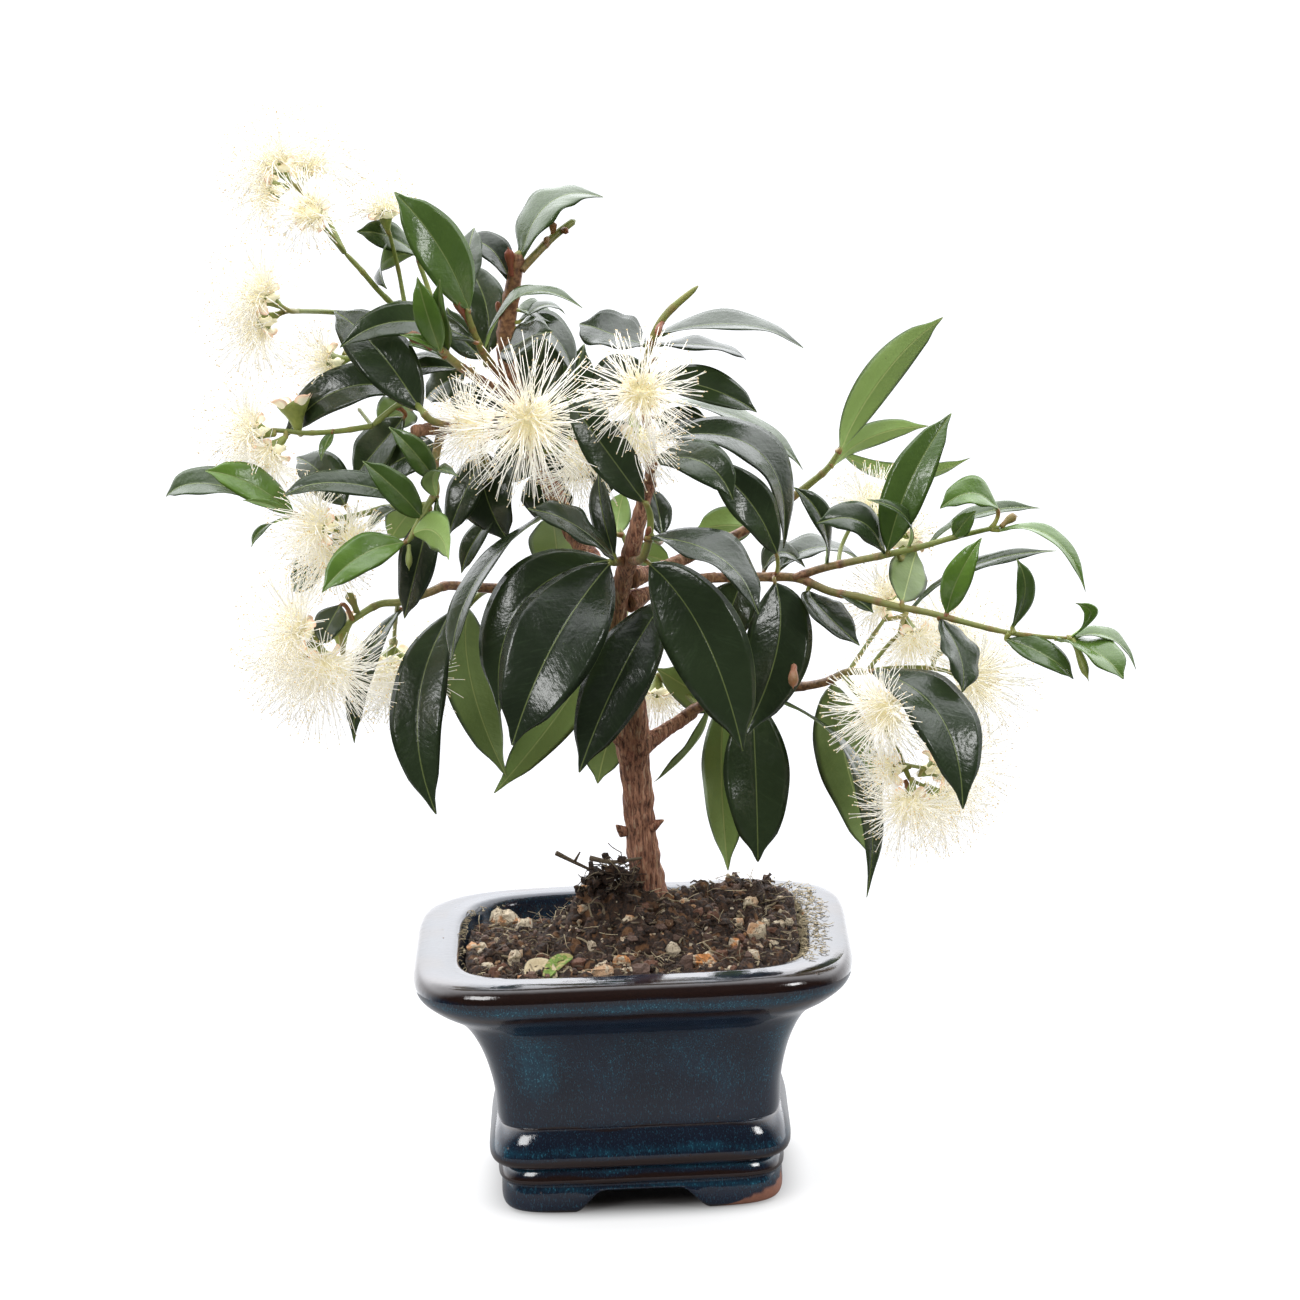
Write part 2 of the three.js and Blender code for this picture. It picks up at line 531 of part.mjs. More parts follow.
      { base: [662, 535], tip: [652, 487], reach: 5, wide: 8, turn: 20, age: 0.7, lift: 6 },
    ],
    flowers: [],
  },
  twig_trunk_back: {
    stems: [
      { route: [[618, 640, 3], [609, 634, 8], [614, 665, 11], [626, 700, 12]], from: 1.2, to: 0.9 },
      { route: [[618, 640, 3], [628, 600, 14], [632, 560, 18], [620, 528, 20]], from: 1, to: 0.8 },
    ],
    leaves: [
      { base: [606, 630], over: [562, 708], tip: [494, 792], reach: 6, wide: 14, turn: 165, age: 0.5 },
      { base: [624, 702], tip: [597, 782], reach: 6, wide: 15, turn: 160, age: 0.6 },
      { base: [616, 533], tip: [624, 491], reach: 6, wide: 8, turn: 160, age: 0.3 },
      { base: [628, 552], tip: [671, 563], reach: 4, wide: 9, turn: 150, age: 0.4 },
    ],
    flowers: [],
  },
  twig_inner_left: {
    stems: [
      { route: [[574, 532, 9], [560, 521, 3], [548, 512, -3]], from: 1.3, to: 1 },
    ],
    leaves: [
      { base: [545, 514], over: [478, 578], tip: [449, 664], reach: -20, wide: 12, turn: 68, age: 0.8 },
      { base: [552, 516], over: [556, 545], tip: [560, 580], reach: 16, wide: 15, turn: 170, age: 0.5, lift: 6 },
    ],
    flowers: [],
  },
  twig_hidden_left: {
    stems: [
      { route: [[488, 432, 4], [482, 448, -2], [488, 475, 1], [500, 505, 3]], from: 1.3, to: 0.9 },
    ],
    leaves: [
      { base: [481, 450], over: [486, 495], tip: [508, 542], reach: -9, wide: 16.5, turn: 15, age: 1, lift: -3 },
      { base: [500, 508], over: [476, 538], tip: [459, 573], reach: 2, wide: 7, turn: 40, age: 0.7 },
      { base: [494, 494], tip: [464, 521], reach: 8, wide: 5, turn: 60, age: 0.7, lift: 5 },
      { base: [482, 456], over: [466, 490], tip: [446, 536], reach: -4, wide: 11, turn: 25, age: 1, lift: 3 },
    ],
    flowers: [],
  },
  twig_centre: {
    stems: [
      { route: [[542, 466, 11], [538, 452, 5], [532, 436, -3]], from: 1.2, to: 0.8 },
      { route: [[538, 452, 5], [510, 443, 1], [490, 433, -2]], from: 0.8, to: 0.7 },
      { route: [[538, 452, 5], [556, 450, 4], [570, 446, 3]], from: 0.8, to: 0.7 },
    ],
    leaves: [],
    flowers: [
      { at: [529, 419], depth: -11, face: [0, -1, 0.1], reach: 24 },
      { at: [477, 425], depth: -7, face: [-0.45, -0.85, -0.05], reach: 17 },
      { at: [578, 452], depth: 1, face: [0.45, -0.4, -0.7], reach: 16 },
    ],
  },
  twig_trunk_crown: {
    stems: [
      { route: [[649, 487, -11], [651, 462, -8], [648, 430, -3], [646, 400, -1], [647, 360, -1], [662, 320, -2],
        [698, 286, -1]], from: 1.5, to: 0.9 },
      { route: [[647, 402, -1], [643, 396, -8]], from: 0.8, to: 0.6 },
      { route: [[649, 436, -4], [641, 434, -8]], from: 0.7, to: 0.6 },
    ],
    leaves: [
      { base: [655, 336], over: [733, 324], tip: [804, 343], reach: 3, wide: 10.5, turn: 60, age: 0.9, lift: 3 },
      { base: [652, 345], over: [712, 346], tip: [747, 358], reach: 8, wide: 7.5, turn: 65, age: 0.9, lift: 5 },
      { base: [650, 378], over: [708, 388], tip: [757, 412], reach: -6, wide: 12, turn: 30, age: 0.6, lift: 8 },
      { base: [651, 400], over: [742, 419], tip: [804, 468], reach: 8, wide: 10, turn: 112, age: 0.5, lift: 8 },
      { base: [653, 440], over: [757, 450], tip: [786, 546], reach: 2, wide: 15.5, turn: 45, age: 0.9, lift: 4 },
      { base: [652, 462], over: [702, 462], tip: [733, 499], reach: -8, wide: 12.5, turn: 25, age: 1, lift: -2 },
      { base: [648, 345], over: [612, 334], tip: [582, 322], reach: 6, wide: 13, turn: 45, age: 0.9, lift: 3 },
    ],
    flowers: [
      { at: [641, 392], depth: -16, face: [0, -1, 0.12], reach: 18 },
      { at: [635, 434], depth: -12, face: [0.15, -0.5, -0.85], reach: 15 },
    ],
  },
  twig_right: {
    stems: [
      { route: [[706, 578, 6], [745, 577, 5], [765, 577, 3], [796, 578, 2], [832, 592, -2], [860, 597, -4],
        [895, 606, -6], [930, 613, -8], [960, 621, -10], [1005, 632, -12], [1045, 637, -13], [1073, 638, -14]],
      from: 1.9, to: 0.7 },
      { route: [[794, 578, 2], [820, 569, 1], [850, 562, 0], [880, 556, -1], [920, 547, -2], [955, 537, -3],
        [1002, 526, -4]], from: 1.3, to: 0.7 },
      { route: [[838, 565, 1], [842, 545, 6], [853, 524, 8], [863, 515, 9]], from: 0.7, to: 0.6 },
    ],
    leaves: [
      { base: [775, 583], over: [777, 650], tip: [743, 738], reach: -12, wide: 19, turn: 10, age: 1, lift: -3 },
      { base: [776, 553], over: [750, 502], tip: [706, 462], reach: -4, wide: 13, turn: 15, age: 0.9, lift: -5 },
      { base: [742, 581], tip: [722, 640], reach: 2, wide: 15, turn: 15, age: 0.9, lift: 3 },
      { base: [764, 571], over: [780, 552], tip: [806, 566], reach: 4, wide: 9, turn: 62, age: 0.9, lift: 3 },
      { base: [780, 569], over: [818, 547], tip: [866, 560], reach: 10, wide: 10, turn: 60, age: 0.8, lift: 6 },
      { base: [827, 563], over: [822, 520], tip: [795, 487], reach: -5, wide: 8, turn: 55, age: 0.7 },
      { base: [884, 553], over: [860, 521], tip: [817, 523], reach: -10, wide: 11.5, turn: 42, age: 0.7 },
      { base: [888, 550], over: [910, 482], tip: [951, 413], reach: 2, wide: 12.5, turn: 15, age: 0.4, lift: -1 },
      { base: [909, 546], over: [906, 517], tip: [870, 498], reach: -9, wide: 5.5, turn: 70, age: 0.5 },
      { base: [930, 543], over: [975, 515], tip: [1040, 505], reach: 8, wide: 7, turn: 68, age: 0.5, lift: 1 },
      { base: [954, 536], tip: [975, 511], reach: -5, wide: 6, turn: 15, age: 0.3 },
      { base: [997, 509], over: [972, 493], tip: [940, 508], reach: -3, wide: 8.5, turn: 20, age: 0.3 },
      { base: [1000, 530], over: [1052, 537], tip: [1087, 590], reach: -6, wide: 7.5, turn: 62, age: 0.3 },
      { base: [808, 592], over: [826, 614], tip: [860, 645], reach: -8, wide: 14, turn: 55, age: 0.9 },
      { base: [838, 594], tip: [874, 612], reach: -4, wide: 5.5, turn: 50, age: 0.8 },
      { base: [902, 602], over: [910, 572], tip: [915, 553], reach: 15, wide: 12.5, turn: 165, age: 0.7 },
      { base: [913, 607], over: [970, 567], tip: [1056, 549], reach: 8, wide: 7.5, turn: 70, age: 0.6, lift: 1 },
      { base: [947, 612], over: [958, 578], tip: [981, 538], reach: -6, wide: 8.5, turn: 20, age: 0.3 },
      { base: [940, 620], over: [960, 655], tip: [963, 692], reach: -8, wide: 11, turn: 25, age: 0.7 },
      { base: [1013, 626], over: [1025, 592], tip: [1018, 560], reach: -5, wide: 6, turn: 25, age: 0.4 },
      { base: [1007, 640], over: [1045, 655], tip: [1074, 678], reach: -6, wide: 9, turn: 30, age: 0.4 },
      { base: [1057, 639], over: [1096, 652], tip: [1124, 678], reach: -9, wide: 8.5, turn: 35, age: 0.4 },
      { base: [1073, 638], over: [1110, 637], tip: [1138, 668], reach: 3, wide: 6, turn: 65, age: 0.3 },
      { base: [1072, 637], over: [1091, 615], tip: [1076, 604], reach: -5, wide: 4.5, turn: 40, age: 0 },
    ],
    flowers: [
      { at: [872, 508], depth: 9, face: [-0.15, 0, 1], reach: 12 },
      { at: [905, 541], depth: 4, face: [0.2, 0.6, 0.8], reach: 9 },
    ],
  },
  twig_right_upper: {
    stems: [
      { route: [[708, 547, 10], [732, 537, 11], [752, 526, 12], [778, 508, 12], [812, 482, 12], [828, 468, 12],
        [841, 448, 12]], from: 1.6, to: 0.8 },
    ],
    leaves: [
      { base: [841, 448], over: [882, 377], tip: [942, 315], reach: -4, wide: 11, turn: 160, age: 0.4 },
      { base: [832, 466], over: [868, 438], tip: [926, 424], reach: 8, wide: 8, turn: 145, age: 0.4 },
      { base: [752, 528], over: [726, 525], tip: [696, 530], reach: 10, wide: 11, turn: 165, age: 0.3, lift: 6 },
      { base: [842, 452], over: [905, 475], tip: [970, 456], reach: 10, wide: 8, turn: 130, age: 0.5, lift: 4 },
    ],
    flowers: [],
  },
  twig_low_right: {
    stems: [
      { route: [[684, 716, 4.5], [707, 703, 5], [745, 693, 6], [790, 688, 4], [825, 682, 0], [848, 672, -3],
        [870, 672, -5]], from: 1.7, to: 1.1 },
      { route: [[866, 671, -5], [900, 668, -3], [930, 668, -1], [952, 672, 0]], from: 0.8, to: 0.6 },
      { route: [[932, 668, -1], [938, 652, 2]], from: 0.6, to: 0.5 },
      { route: [[849, 671, -3], [870, 640, 3], [888, 614, 7]], from: 0.7, to: 0.5 },
      { route: [[868, 670, -5], [888, 645, -3], [903, 630, -1]], from: 0.7, to: 0.5 },
      { route: [[844, 676, -3], [862, 698, -6], [880, 717, -8], [893, 742, -8], [903, 764, -8], [911, 782, -8]],
        from: 0.9, to: 0.7 },
      { route: [[903, 764, -8], [918, 767, -4], [926, 768, -2]], from: 0.6, to: 0.5 },
      { route: [[911, 780, -8], [928, 788, -6]], from: 0.6, to: 0.5 },
      { route: [[700, 707, 5], [682, 692, 12], [662, 681, 15]], from: 0.7, to: 0.6 },
    ],
    leaves: [
      { base: [873, 672], over: [939, 714], tip: [964, 808], reach: -14, wide: 19, turn: 25, age: 1, lift: -5 },
      { base: [833, 684], over: [848, 768], tip: [877, 858], reach: 10, wide: 18, turn: 165, age: 0.6, lift: 5 },
      { base: [779, 700], over: [858, 770], tip: [870, 896], reach: -20, wide: 10, turn: 68, age: 0.8 },
      { base: [708, 708], over: [690, 748], tip: [652, 781], reach: 14, wide: 7.5, turn: 110, age: 0.6, lift: 2 },
      { base: [752, 698], over: [756, 780], tip: [758, 862], reach: -8, wide: 19, turn: 10, age: 1, lift: -2 },
      { base: [724, 703], over: [722, 785], tip: [729, 869], reach: 10, wide: 13, turn: 165, age: 0.5, lift: 3 },
      { base: [716, 705], over: [692, 690], tip: [657, 668], reach: 5, wide: 12, turn: 165, age: 0.5, lift: 2 },
    ],
    flowers: [
      { at: [966, 676], depth: -1, face: [0.55, -0.75, -0.25], reach: 18 },
      { at: [944, 644], depth: 4, face: [0.6, 0.1, 0.75], reach: 17 },
      { at: [891, 602], depth: 9, face: [-0.75, 0.3, 0.5], reach: 13 },
      { at: [911, 634], depth: 0, face: [0.2, -0.5, -0.8], reach: 14 },
      { at: [889, 706], depth: -14, face: [-0.65, -0.7, -0.25], reach: 18 },
      { at: [893, 768], depth: -8, face: [-1, -0.2, 0], reach: 10 },
      { at: [911, 798], depth: -12, face: [-0.15, -0.6, -0.8], reach: 16.5 },
      { at: [938, 797], depth: -7, face: [0.6, -0.3, -0.6], reach: 15 },
      { at: [935, 768], depth: -1, face: [0.9, 0.2, 0.3], reach: 21 },
      { at: [657, 692], depth: 15, face: [-0.1, -0.1, -1], reach: 10 },
    ],
  },
  leaf_trunk_front: {
    stems: [
      { route: [[657, 591, 1], [664, 598, -5]], from: 1.1, to: 0.9 },
    ],
    leaves: [
      { base: [663, 602], over: [618, 678], tip: [579, 772], reach: -12, wide: 18.5, turn: 5, age: 1, lift: -2 },
    ],
    flowers: [],
  },
};

// Leaf blade: half-width at a way along, as a share of the full width. Narrow at the base,
// widest a little before the middle, then drawn out to a fine tip.
function bladeShare(way) {
  const body = Math.sin(Math.PI * way ** 0.92) ** 0.85;
  return 0.5 * body * (1 - 0.35 * THREE.MathUtils.smoothstep(way, 0.7, 1));
}

// Places along a blade where it has a section, fewer on a short one
const BLADE_STATIONS = [
  { upTo: 15, ways: [0.45] },
  { upTo: 27, ways: [0.3, 0.7] },
  { upTo: Infinity, ways: [0.22, 0.5, 0.8] },
];
const BLADE_FOLD = 0.22;
const STALK_HALF = 0.55;
// A stalk starts as a point this far inside its stem. A longer one has one more section.
const ROOT_DEPTH = 0.5;
const ROOT_STAGGER = { count: 7, step: 0.04 };
const LONG_STALK = 3.4;

// A leaf as one thin closed blade on its stalk, which starts inside the stem.
function makeLeaf(leaf, order, stemPoints, swell) {
  const stemPoint = stemPoints.reduce((best, point) => {
    const away = Math.hypot(point.seen[0] - leaf.base[0], point.seen[1] - leaf.base[1]);
    return away < best.away ? { away, place: point.place } : best;
  }, { away: Infinity });
  const start = stemPoint.place;
  const base = seenAt(leaf.base, start.y + (leaf.lift ?? 0) * FULLNESS);
  const tip = seenAt(leaf.tip, base.y + leaf.reach * REACH_SHARE);
  const chord = tip.clone().sub(base);
  const length = chord.length();
  chord.normalize();
  const facing = acrossTo(TO_VIEWER, chord);
  const sideways = new THREE.Vector3().crossVectors(chord, facing);
  const outward = UP.clone().addScaledVector(new THREE.Vector3(Math.sign(base.x - 3), 0, 0), 0.35);
  if (sideways.dot(outward) < 0) sideways.negate();
  const turn = THREE.MathUtils.degToRad(leaf.turn);
  const upper = facing.multiplyScalar(Math.cos(turn)).addScaledVector(sideways, Math.sin(turn));
  const bow = (leaf.arch ?? 0.08) * length;
  const middle = base.clone().add(tip).multiplyScalar(0.5);
  if (leaf.over) middle.copy(seenAt(leaf.over, middle.y - bow * Math.cos(turn)));
  else middle.addScaledVector(upper, bow);
  const control = middle.clone().multiplyScalar(2)
    .addScaledVector(base, -0.5)
    .addScaledVector(tip, -0.5);
  const blade = new THREE.QuadraticBezierCurve3(base, control, tip);
  const half = leaf.wide / 2;
  const thick = 0.42 + 0.16 * leaf.age;
  const stations = [];
  const setOut = base.distanceTo(start);
  const leaving = base.clone().addScaledVector(blade.getTangent(0), -0.4 * setOut);
  const stalk = new THREE.QuadraticBezierCurve3(start, leaving, base);
  const root = start.clone()
    .addScaledVector(stalk.getTangent(0), -ROOT_DEPTH - (order % ROOT_STAGGER.count) * ROOT_STAGGER.step);
  if (setOut > LONG_STALK) {
    const way = LONG_STALK / 2 / setOut;
    stations.push([stalk.getPoint(way), stalk.getTangent(way), STALK_HALF, STALK_HALF]);
  }
  stations.push([base, blade.getTangent(0), STALK_HALF + 0.1, STALK_HALF]);
  BLADE_STATIONS.find(({ upTo }) => length <= upTo).ways.forEach((way) => {
    stations.push([blade.getPoint(way), blade.getTangent(way), half * 2 * bladeShare(way), thick]);
  });
  let lastUpper = upper;
  const rings = stations.map(([centre, along, halfWide, halfThick]) => {
    const parallel = Math.abs(lastUpper.dot(along)) > 0.97;
    const top = parallel ? acrossTo(sideways, along) : acrossTo(lastUpper, along);
    lastUpper = top.clone().lerp(upper, 0.35).normalize();
    const side = new THREE.Vector3().crossVectors(along, top);
    const rise = halfWide > 1 ? BLADE_FOLD * halfWide : 0;
    return [
      centre.clone().addScaledVector(side, halfWide + swell).addScaledVector(top, rise),
      centre.clone().addScaledVector(top, halfThick + swell),
      centre.clone().addScaledVector(side, -halfWide - swell).addScaledVector(top, rise),
      centre.clone().addScaledVector(top, -halfThick - swell),
    ];
  });
  return skinRings([[root], ...rings, [tip.clone().addScaledVector(chord, swell)]], true);
}

// Flower cup: a small green funnel round the flower's axis, solid up to its mouth, on a stalk
// that starts inside the nearest stem.
const CUP_PROFILE = [[0.8, -4.6], [1.4, -2.4], [2.9, 0]];
const CUP_SIDES = 4;
const EMPTY_CUP_SCALE = 1.35;

function makeCup(flower, stemPoints, swell) {
  const mouth = seenAt(flower.at, drawnOut(flower.depth));
  const axis = new THREE.Vector3(...flower.face).normalize();
  const scale = flower.reach > 0 ? 1 : EMPTY_CUP_SCALE;
  const foot = mouth.clone().addScaledVector(axis, CUP_PROFILE[0][1] * scale);
  const nearest = stemPoints.reduce((best, point) => (
    point.place.distanceTo(foot) < best.place.distanceTo(foot) ? point : best));
  const bend = foot.clone().addScaledVector(axis, -nearest.place.distanceTo(foot) * 0.4);
  const stalk = new THREE.QuadraticBezierCurve3(nearest.place, bend, foot);
  const root = nearest.place.clone().addScaledVector(stalk.getTangent(0), -ROOT_DEPTH);
  const stations = [[stalk.getPoint(0.4), stalk.getTangent(0.4), STALK_HALF]];
  CUP_PROFILE.forEach(([radius, height]) => {
    const lifted = height * scale + (height === 0 ? swell : 0);
    stations.push([mouth.clone().addScaledVector(axis, lifted), axis, radius * scale]);
  });
  let side = acrossTo(Math.abs(axis.z) > 0.9 ? VIEW_RIGHT : UP, stations[0][1]);
  const rings = stations.map(([centre, along, radius]) => {
    side = acrossTo(side, along);
    const other = new THREE.Vector3().crossVectors(along, side);
    return Array.from({ length: CUP_SIDES }, (_, k) => {
      const angle = (k / CUP_SIDES) * Math.PI * 2;
      return centre.clone()
        .addScaledVector(side, Math.cos(angle) * (radius + swell))
        .addScaledVector(other, Math.sin(angle) * (radius + swell));
    });
  });
  return skinRings([[root], ...rings]);
}

const STEM_SIDES = 4;
const SAMPLES = 12;

function makeTwig(twig, swell) {
  const stemPoints = [];
  const stems = twig.stems.map(({ route, from, to }) => {
    const places = route.map(([column, row, depth]) => seenAt([column, row], drawnOut(depth)));
    const last = places.length - 1;
    for (let k = 0; k <= last * SAMPLES - 2; k += 1) {
      const index = Math.min(Math.floor(k / SAMPLES), last - 1);
      const share = k / SAMPLES - index;
      const between = (axis) => THREE.MathUtils.lerp(route[index][axis], route[index + 1][axis], share);
      stemPoints.push({
        place: places[index].clone().lerp(places[index + 1], share),
        seen: [between(0), between(1)],
      });
    }
    return taperedTube(curveThrough(places), (way) => THREE.MathUtils.lerp(from, to, way) + swell, last, STEM_SIDES);
  });
  const leaves = twig.leaves.map((leaf, order) => makeLeaf(leaf, order, stemPoints, swell));
  const cups = twig.flowers.map((flower) => makeCup(flower, stemPoints, swell));
  return joined([...stems, ...leaves, ...cups]);
}

// Flower head: a small core whose forward faces are drawn out into stamens. A stamen stops
// before a leaf or stem that it would meet, and half way to the next flower's head.
const CORE_RADIUS = 3.4;
const CORE_AHEAD = 3.2;
const STAMEN_CLEAR = 1.4;
const SHORTEST_STAMEN = 1.6;
const SMALL_HEAD = 16.2;

function headCentre(flower) {
  return seenAt(flower.at, drawnOut(flower.depth))
    .addScaledVector(new THREE.Vector3(...flower.face).normalize(), CORE_AHEAD);
}

function makeHead(flower, neighbours, foliage) {
  const axis = new THREE.Vector3(...flower.face).normalize();
  const centre = headCentre(flower);
  const ball = flower.reach < SMALL_HEAD
    ? new THREE.OctahedronGeometry(CORE_RADIUS, 1)
    : new THREE.IcosahedronGeometry(CORE_RADIUS, 1);
  const places = ball.getAttribute('position');
  const positions = [];
  const indices = [];
  const seen = new Map();
  const vertexOf = (point) => {
    const key = point.toArray().map((value) => value.toFixed(3)).join();
    if (!seen.has(key)) {
      seen.set(key, positions.length / 3);
      positions.push(point.x + centre.x, point.y + centre.y, point.z + centre.z);
    }
    return seen.get(key);
  };
  const caster = new THREE.Raycaster();
  for (let k = 0; k < places.count; k += 3) {
    const corners = [0, 1, 2].map((step) => new THREE.Vector3().fromBufferAttribute(places, k + step));
    const corner = corners.map(vertexOf);
    const heading = corners[0].clone().add(corners[1]).add(corners[2]).normalize();
    const ahead = heading.dot(axis);
    const tilted = heading.clone().addScaledVector(axis, 0.15).normalize();
    let reach = flower.reach * (ahead > 0.8 ? 0.86 : 1);
    neighbours.forEach((neighbour) => {
      const between = neighbour.clone().sub(centre);
      const apart = between.length();
      const toward = tilted.dot(between) / apart;
      if (toward > 0.05) reach = Math.min(reach, (apart / 2 - GAP) / toward);
    });
    caster.set(centre, tilted);
    caster.far = flower.reach + STAMEN_CLEAR;
    const hits = caster.intersectObjects(foliage, false);
    if (hits.length > 0) reach = Math.min(reach, hits[0].distance - STAMEN_CLEAR);
    if (ahead > -0.25 && reach > CORE_RADIUS + SHORTEST_STAMEN) {
      const apex = vertexOf(tilted.multiplyScalar(reach));
      indices.push(corner[0], corner[1], apex, corner[1], corner[2], apex, corner[2], corner[0], apex);
    } else {
      indices.push(...corner);
    }
  }
  return solidOf(positions, indices);
}

// Assembly

function geometryOf(solid) {
  const mesh = solid.getMesh();
  const geometry = new THREE.BufferGeometry();
  const places = new Float32Array((mesh.vertProperties.length / mesh.numProp) * 3);
  for (let k = 0; k < places.length / 3; k += 1) {
    for (let axis = 0; axis < 3; axis += 1) places[k * 3 + axis] = mesh.vertProperties[k * mesh.numProp + axis];
  }
  geometry.setAttribute('position', new THREE.BufferAttribute(places, 3));
  geometry.setIndex(new THREE.BufferAttribute(new Uint32Array(mesh.triVerts), 1));
  return geometry;
}

const FINISH = {
  glaze: new THREE.MeshStandardMaterial({ color: 0x16283a, roughness: 0.12, metalness: 0 }),
  soil: new THREE.MeshStandardMaterial({ color: 0x4a3626, roughness: 0.95, metalness: 0 }),
  bark: new THREE.MeshStandardMaterial({ color: 0x6b4434, roughness: 0.85, metalness: 0 }),
  leaf: new THREE.MeshStandardMaterial({ color: 0x2f4a2a, roughness: 0.35, metalness: 0 }),
  stamens: new THREE.MeshStandardMaterial({ color: 0xf4ecd0, roughness: 0.8, metalness: 0 }),
};

const bonsai = new THREE.Group();

function place(name, solid, finish) {
  const mesh = new THREE.Mesh(geometryOf(largestBody(withoutShortEdges(solid))), FINISH[finish]);
  mesh.name = name;
  bonsai.add(mesh);
  return mesh;
}

const wood = makeWood(0);
const woodSeat = makeWood(GAP);
place('pot', makePot(), 'glaze');
place('soil', makeSoil(woodSeat), 'soil');
place('trunk', wood, 'bark');

const twigMeshes = Object.entries(TWIGS).map(([name, twig]) => (
  place(name, largestBody(makeTwig(twig, 0).subtract(woodSeat)), 'leaf')));
const foliageSeat = joined(Object.values(TWIGS).map((twig) => makeTwig(twig, GAP))).add(woodSeat);
const foliage = [...twigMeshes, bonsai.getObjectByName('trunk')];
const flowers = Object.entries(TWIGS).flatMap(([name, twig]) => twig.flowers
  .filter((flower) => flower.reach > 0)
  .map((flower, index) => ({ flower, name: `${name.replace('twig', 'flower')}_${index + 1}` })));
const centres = flowers.map(({ flower }) => headCentre(flower));
flowers.forEach(({ flower, name }, index) => {
  const neighbours = centres.filter((centre, other) => other !== index
    && centre.distanceTo(centres[index]) < 60);
  const head = makeHead(flower, neighbours, foliage).subtract(foliageSeat);
  place(name, largestBody(head), 'stamens');
});

// Stands the middle of the whole on the origin.
const extent = new THREE.Box3().setFromObject(bonsai);
const middle = extent.getCenter(new THREE.Vector3());
bonsai.position.set(-middle.x, -middle.y, -extent.min.z);

export default bonsai;
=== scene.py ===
# %% [markdown]
# # Brush cherry bonsai in a glazed square pot
#
# The tree stands in a dark blue square pot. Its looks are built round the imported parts: each
# part's place stays fixed, and a finer piece of the same form stands for it. Everything is
# measured in millimetres from the middle of the pot's foot, and turned into metres at the end.

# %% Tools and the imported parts
import math
import bpy
import numpy as np
from mathutils import Matrix, Vector
from mathutils.bvhtree import BVHTree


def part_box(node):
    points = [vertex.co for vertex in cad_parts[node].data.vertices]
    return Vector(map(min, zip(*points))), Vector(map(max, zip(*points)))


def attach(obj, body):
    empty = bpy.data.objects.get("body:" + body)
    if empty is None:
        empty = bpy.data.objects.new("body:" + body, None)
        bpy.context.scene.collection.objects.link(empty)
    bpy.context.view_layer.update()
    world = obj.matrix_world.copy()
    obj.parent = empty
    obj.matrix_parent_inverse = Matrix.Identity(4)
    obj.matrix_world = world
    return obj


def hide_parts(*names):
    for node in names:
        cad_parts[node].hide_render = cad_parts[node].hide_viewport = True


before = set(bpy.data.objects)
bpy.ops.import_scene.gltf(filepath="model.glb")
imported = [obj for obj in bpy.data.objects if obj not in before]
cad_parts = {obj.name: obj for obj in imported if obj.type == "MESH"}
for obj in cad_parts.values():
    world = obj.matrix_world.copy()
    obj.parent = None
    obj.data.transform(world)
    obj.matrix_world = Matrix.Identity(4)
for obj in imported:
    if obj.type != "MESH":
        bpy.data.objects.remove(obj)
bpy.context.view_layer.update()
MM = 0.001
pot_low, pot_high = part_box("pot")
CENTRE = np.array([(pot_low.x + pot_high.x) / 2, (pot_low.y + pot_high.y) / 2, 0]) / MM
print("packed parts:", len(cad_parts), "pot centre:", CENTRE.round(2))

# %% [markdown]
# ## Places, as seen from the front
#
# A tree this irregular is easiest to follow from one viewpoint. Each place on it is therefore
# written as the column and row where it is seen on a 1300 wide view, with a depth behind the
# middle of the pot. A list of places in space would do as well, but these can be compared with
# the finished view at once. Depths are drawn out from the trunk, to give the crown some fullness
# from the side.

# %% Viewpoint
VIEW_WIDTH, FOCAL, DISTANCE = 1300, 5322.5, 1500.0
TILT, ROLL = math.radians(10.84), math.radians(-2.47)
AIM = np.array([8.67, 0, 152.4])
TO_VIEWER = np.array([0, -math.cos(TILT), math.sin(TILT)])
LEVEL_UP = np.array([0, math.sin(TILT), math.cos(TILT)])
ACROSS, UP = np.array([1.0, 0, 0]), np.array([0, 0, 1.0])
VIEW_RIGHT = ACROSS * math.cos(ROLL) + LEVEL_UP * math.sin(ROLL)
VIEW_UP = LEVEL_UP * math.cos(ROLL) - ACROSS * math.sin(ROLL)
EYE = AIM + TO_VIEWER * DISTANCE
TRUNK_DEPTH, FULLNESS, REACH_SHARE = 4.0, 1.8, 1.3


def seen_at(seen, depth):
    """The point on the line of sight through a column and row where y equals the depth."""
    seen = np.asarray(seen, float)
    right = (seen[..., :1] - VIEW_WIDTH / 2) / FOCAL
    up = (VIEW_WIDTH / 2 - seen[..., 1:]) / FOCAL
    ray = VIEW_RIGHT * right + VIEW_UP * up - TO_VIEWER
    return EYE + ray * ((depth - EYE[1]) / ray[..., 1])[..., None]


def seen_from_front(points):
    """Column and row of points: their offset across and up, over their distance, times the focal length."""
    away = points - EYE
    scale = FOCAL / -(away @ TO_VIEWER)
    return np.stack([VIEW_WIDTH / 2 + away @ VIEW_RIGHT * scale,
                     VIEW_WIDTH / 2 - away @ VIEW_UP * scale], -1)


def drawn_out(depth):
    """Depth from the trunk's plane times the fullness."""
    return TRUNK_DEPTH + (np.asarray(depth, float) - TRUNK_DEPTH) * FULLNESS


print("eye at", EYE.round(1), "a view point is", round(DISTANCE / FOCAL, 3), "mm")

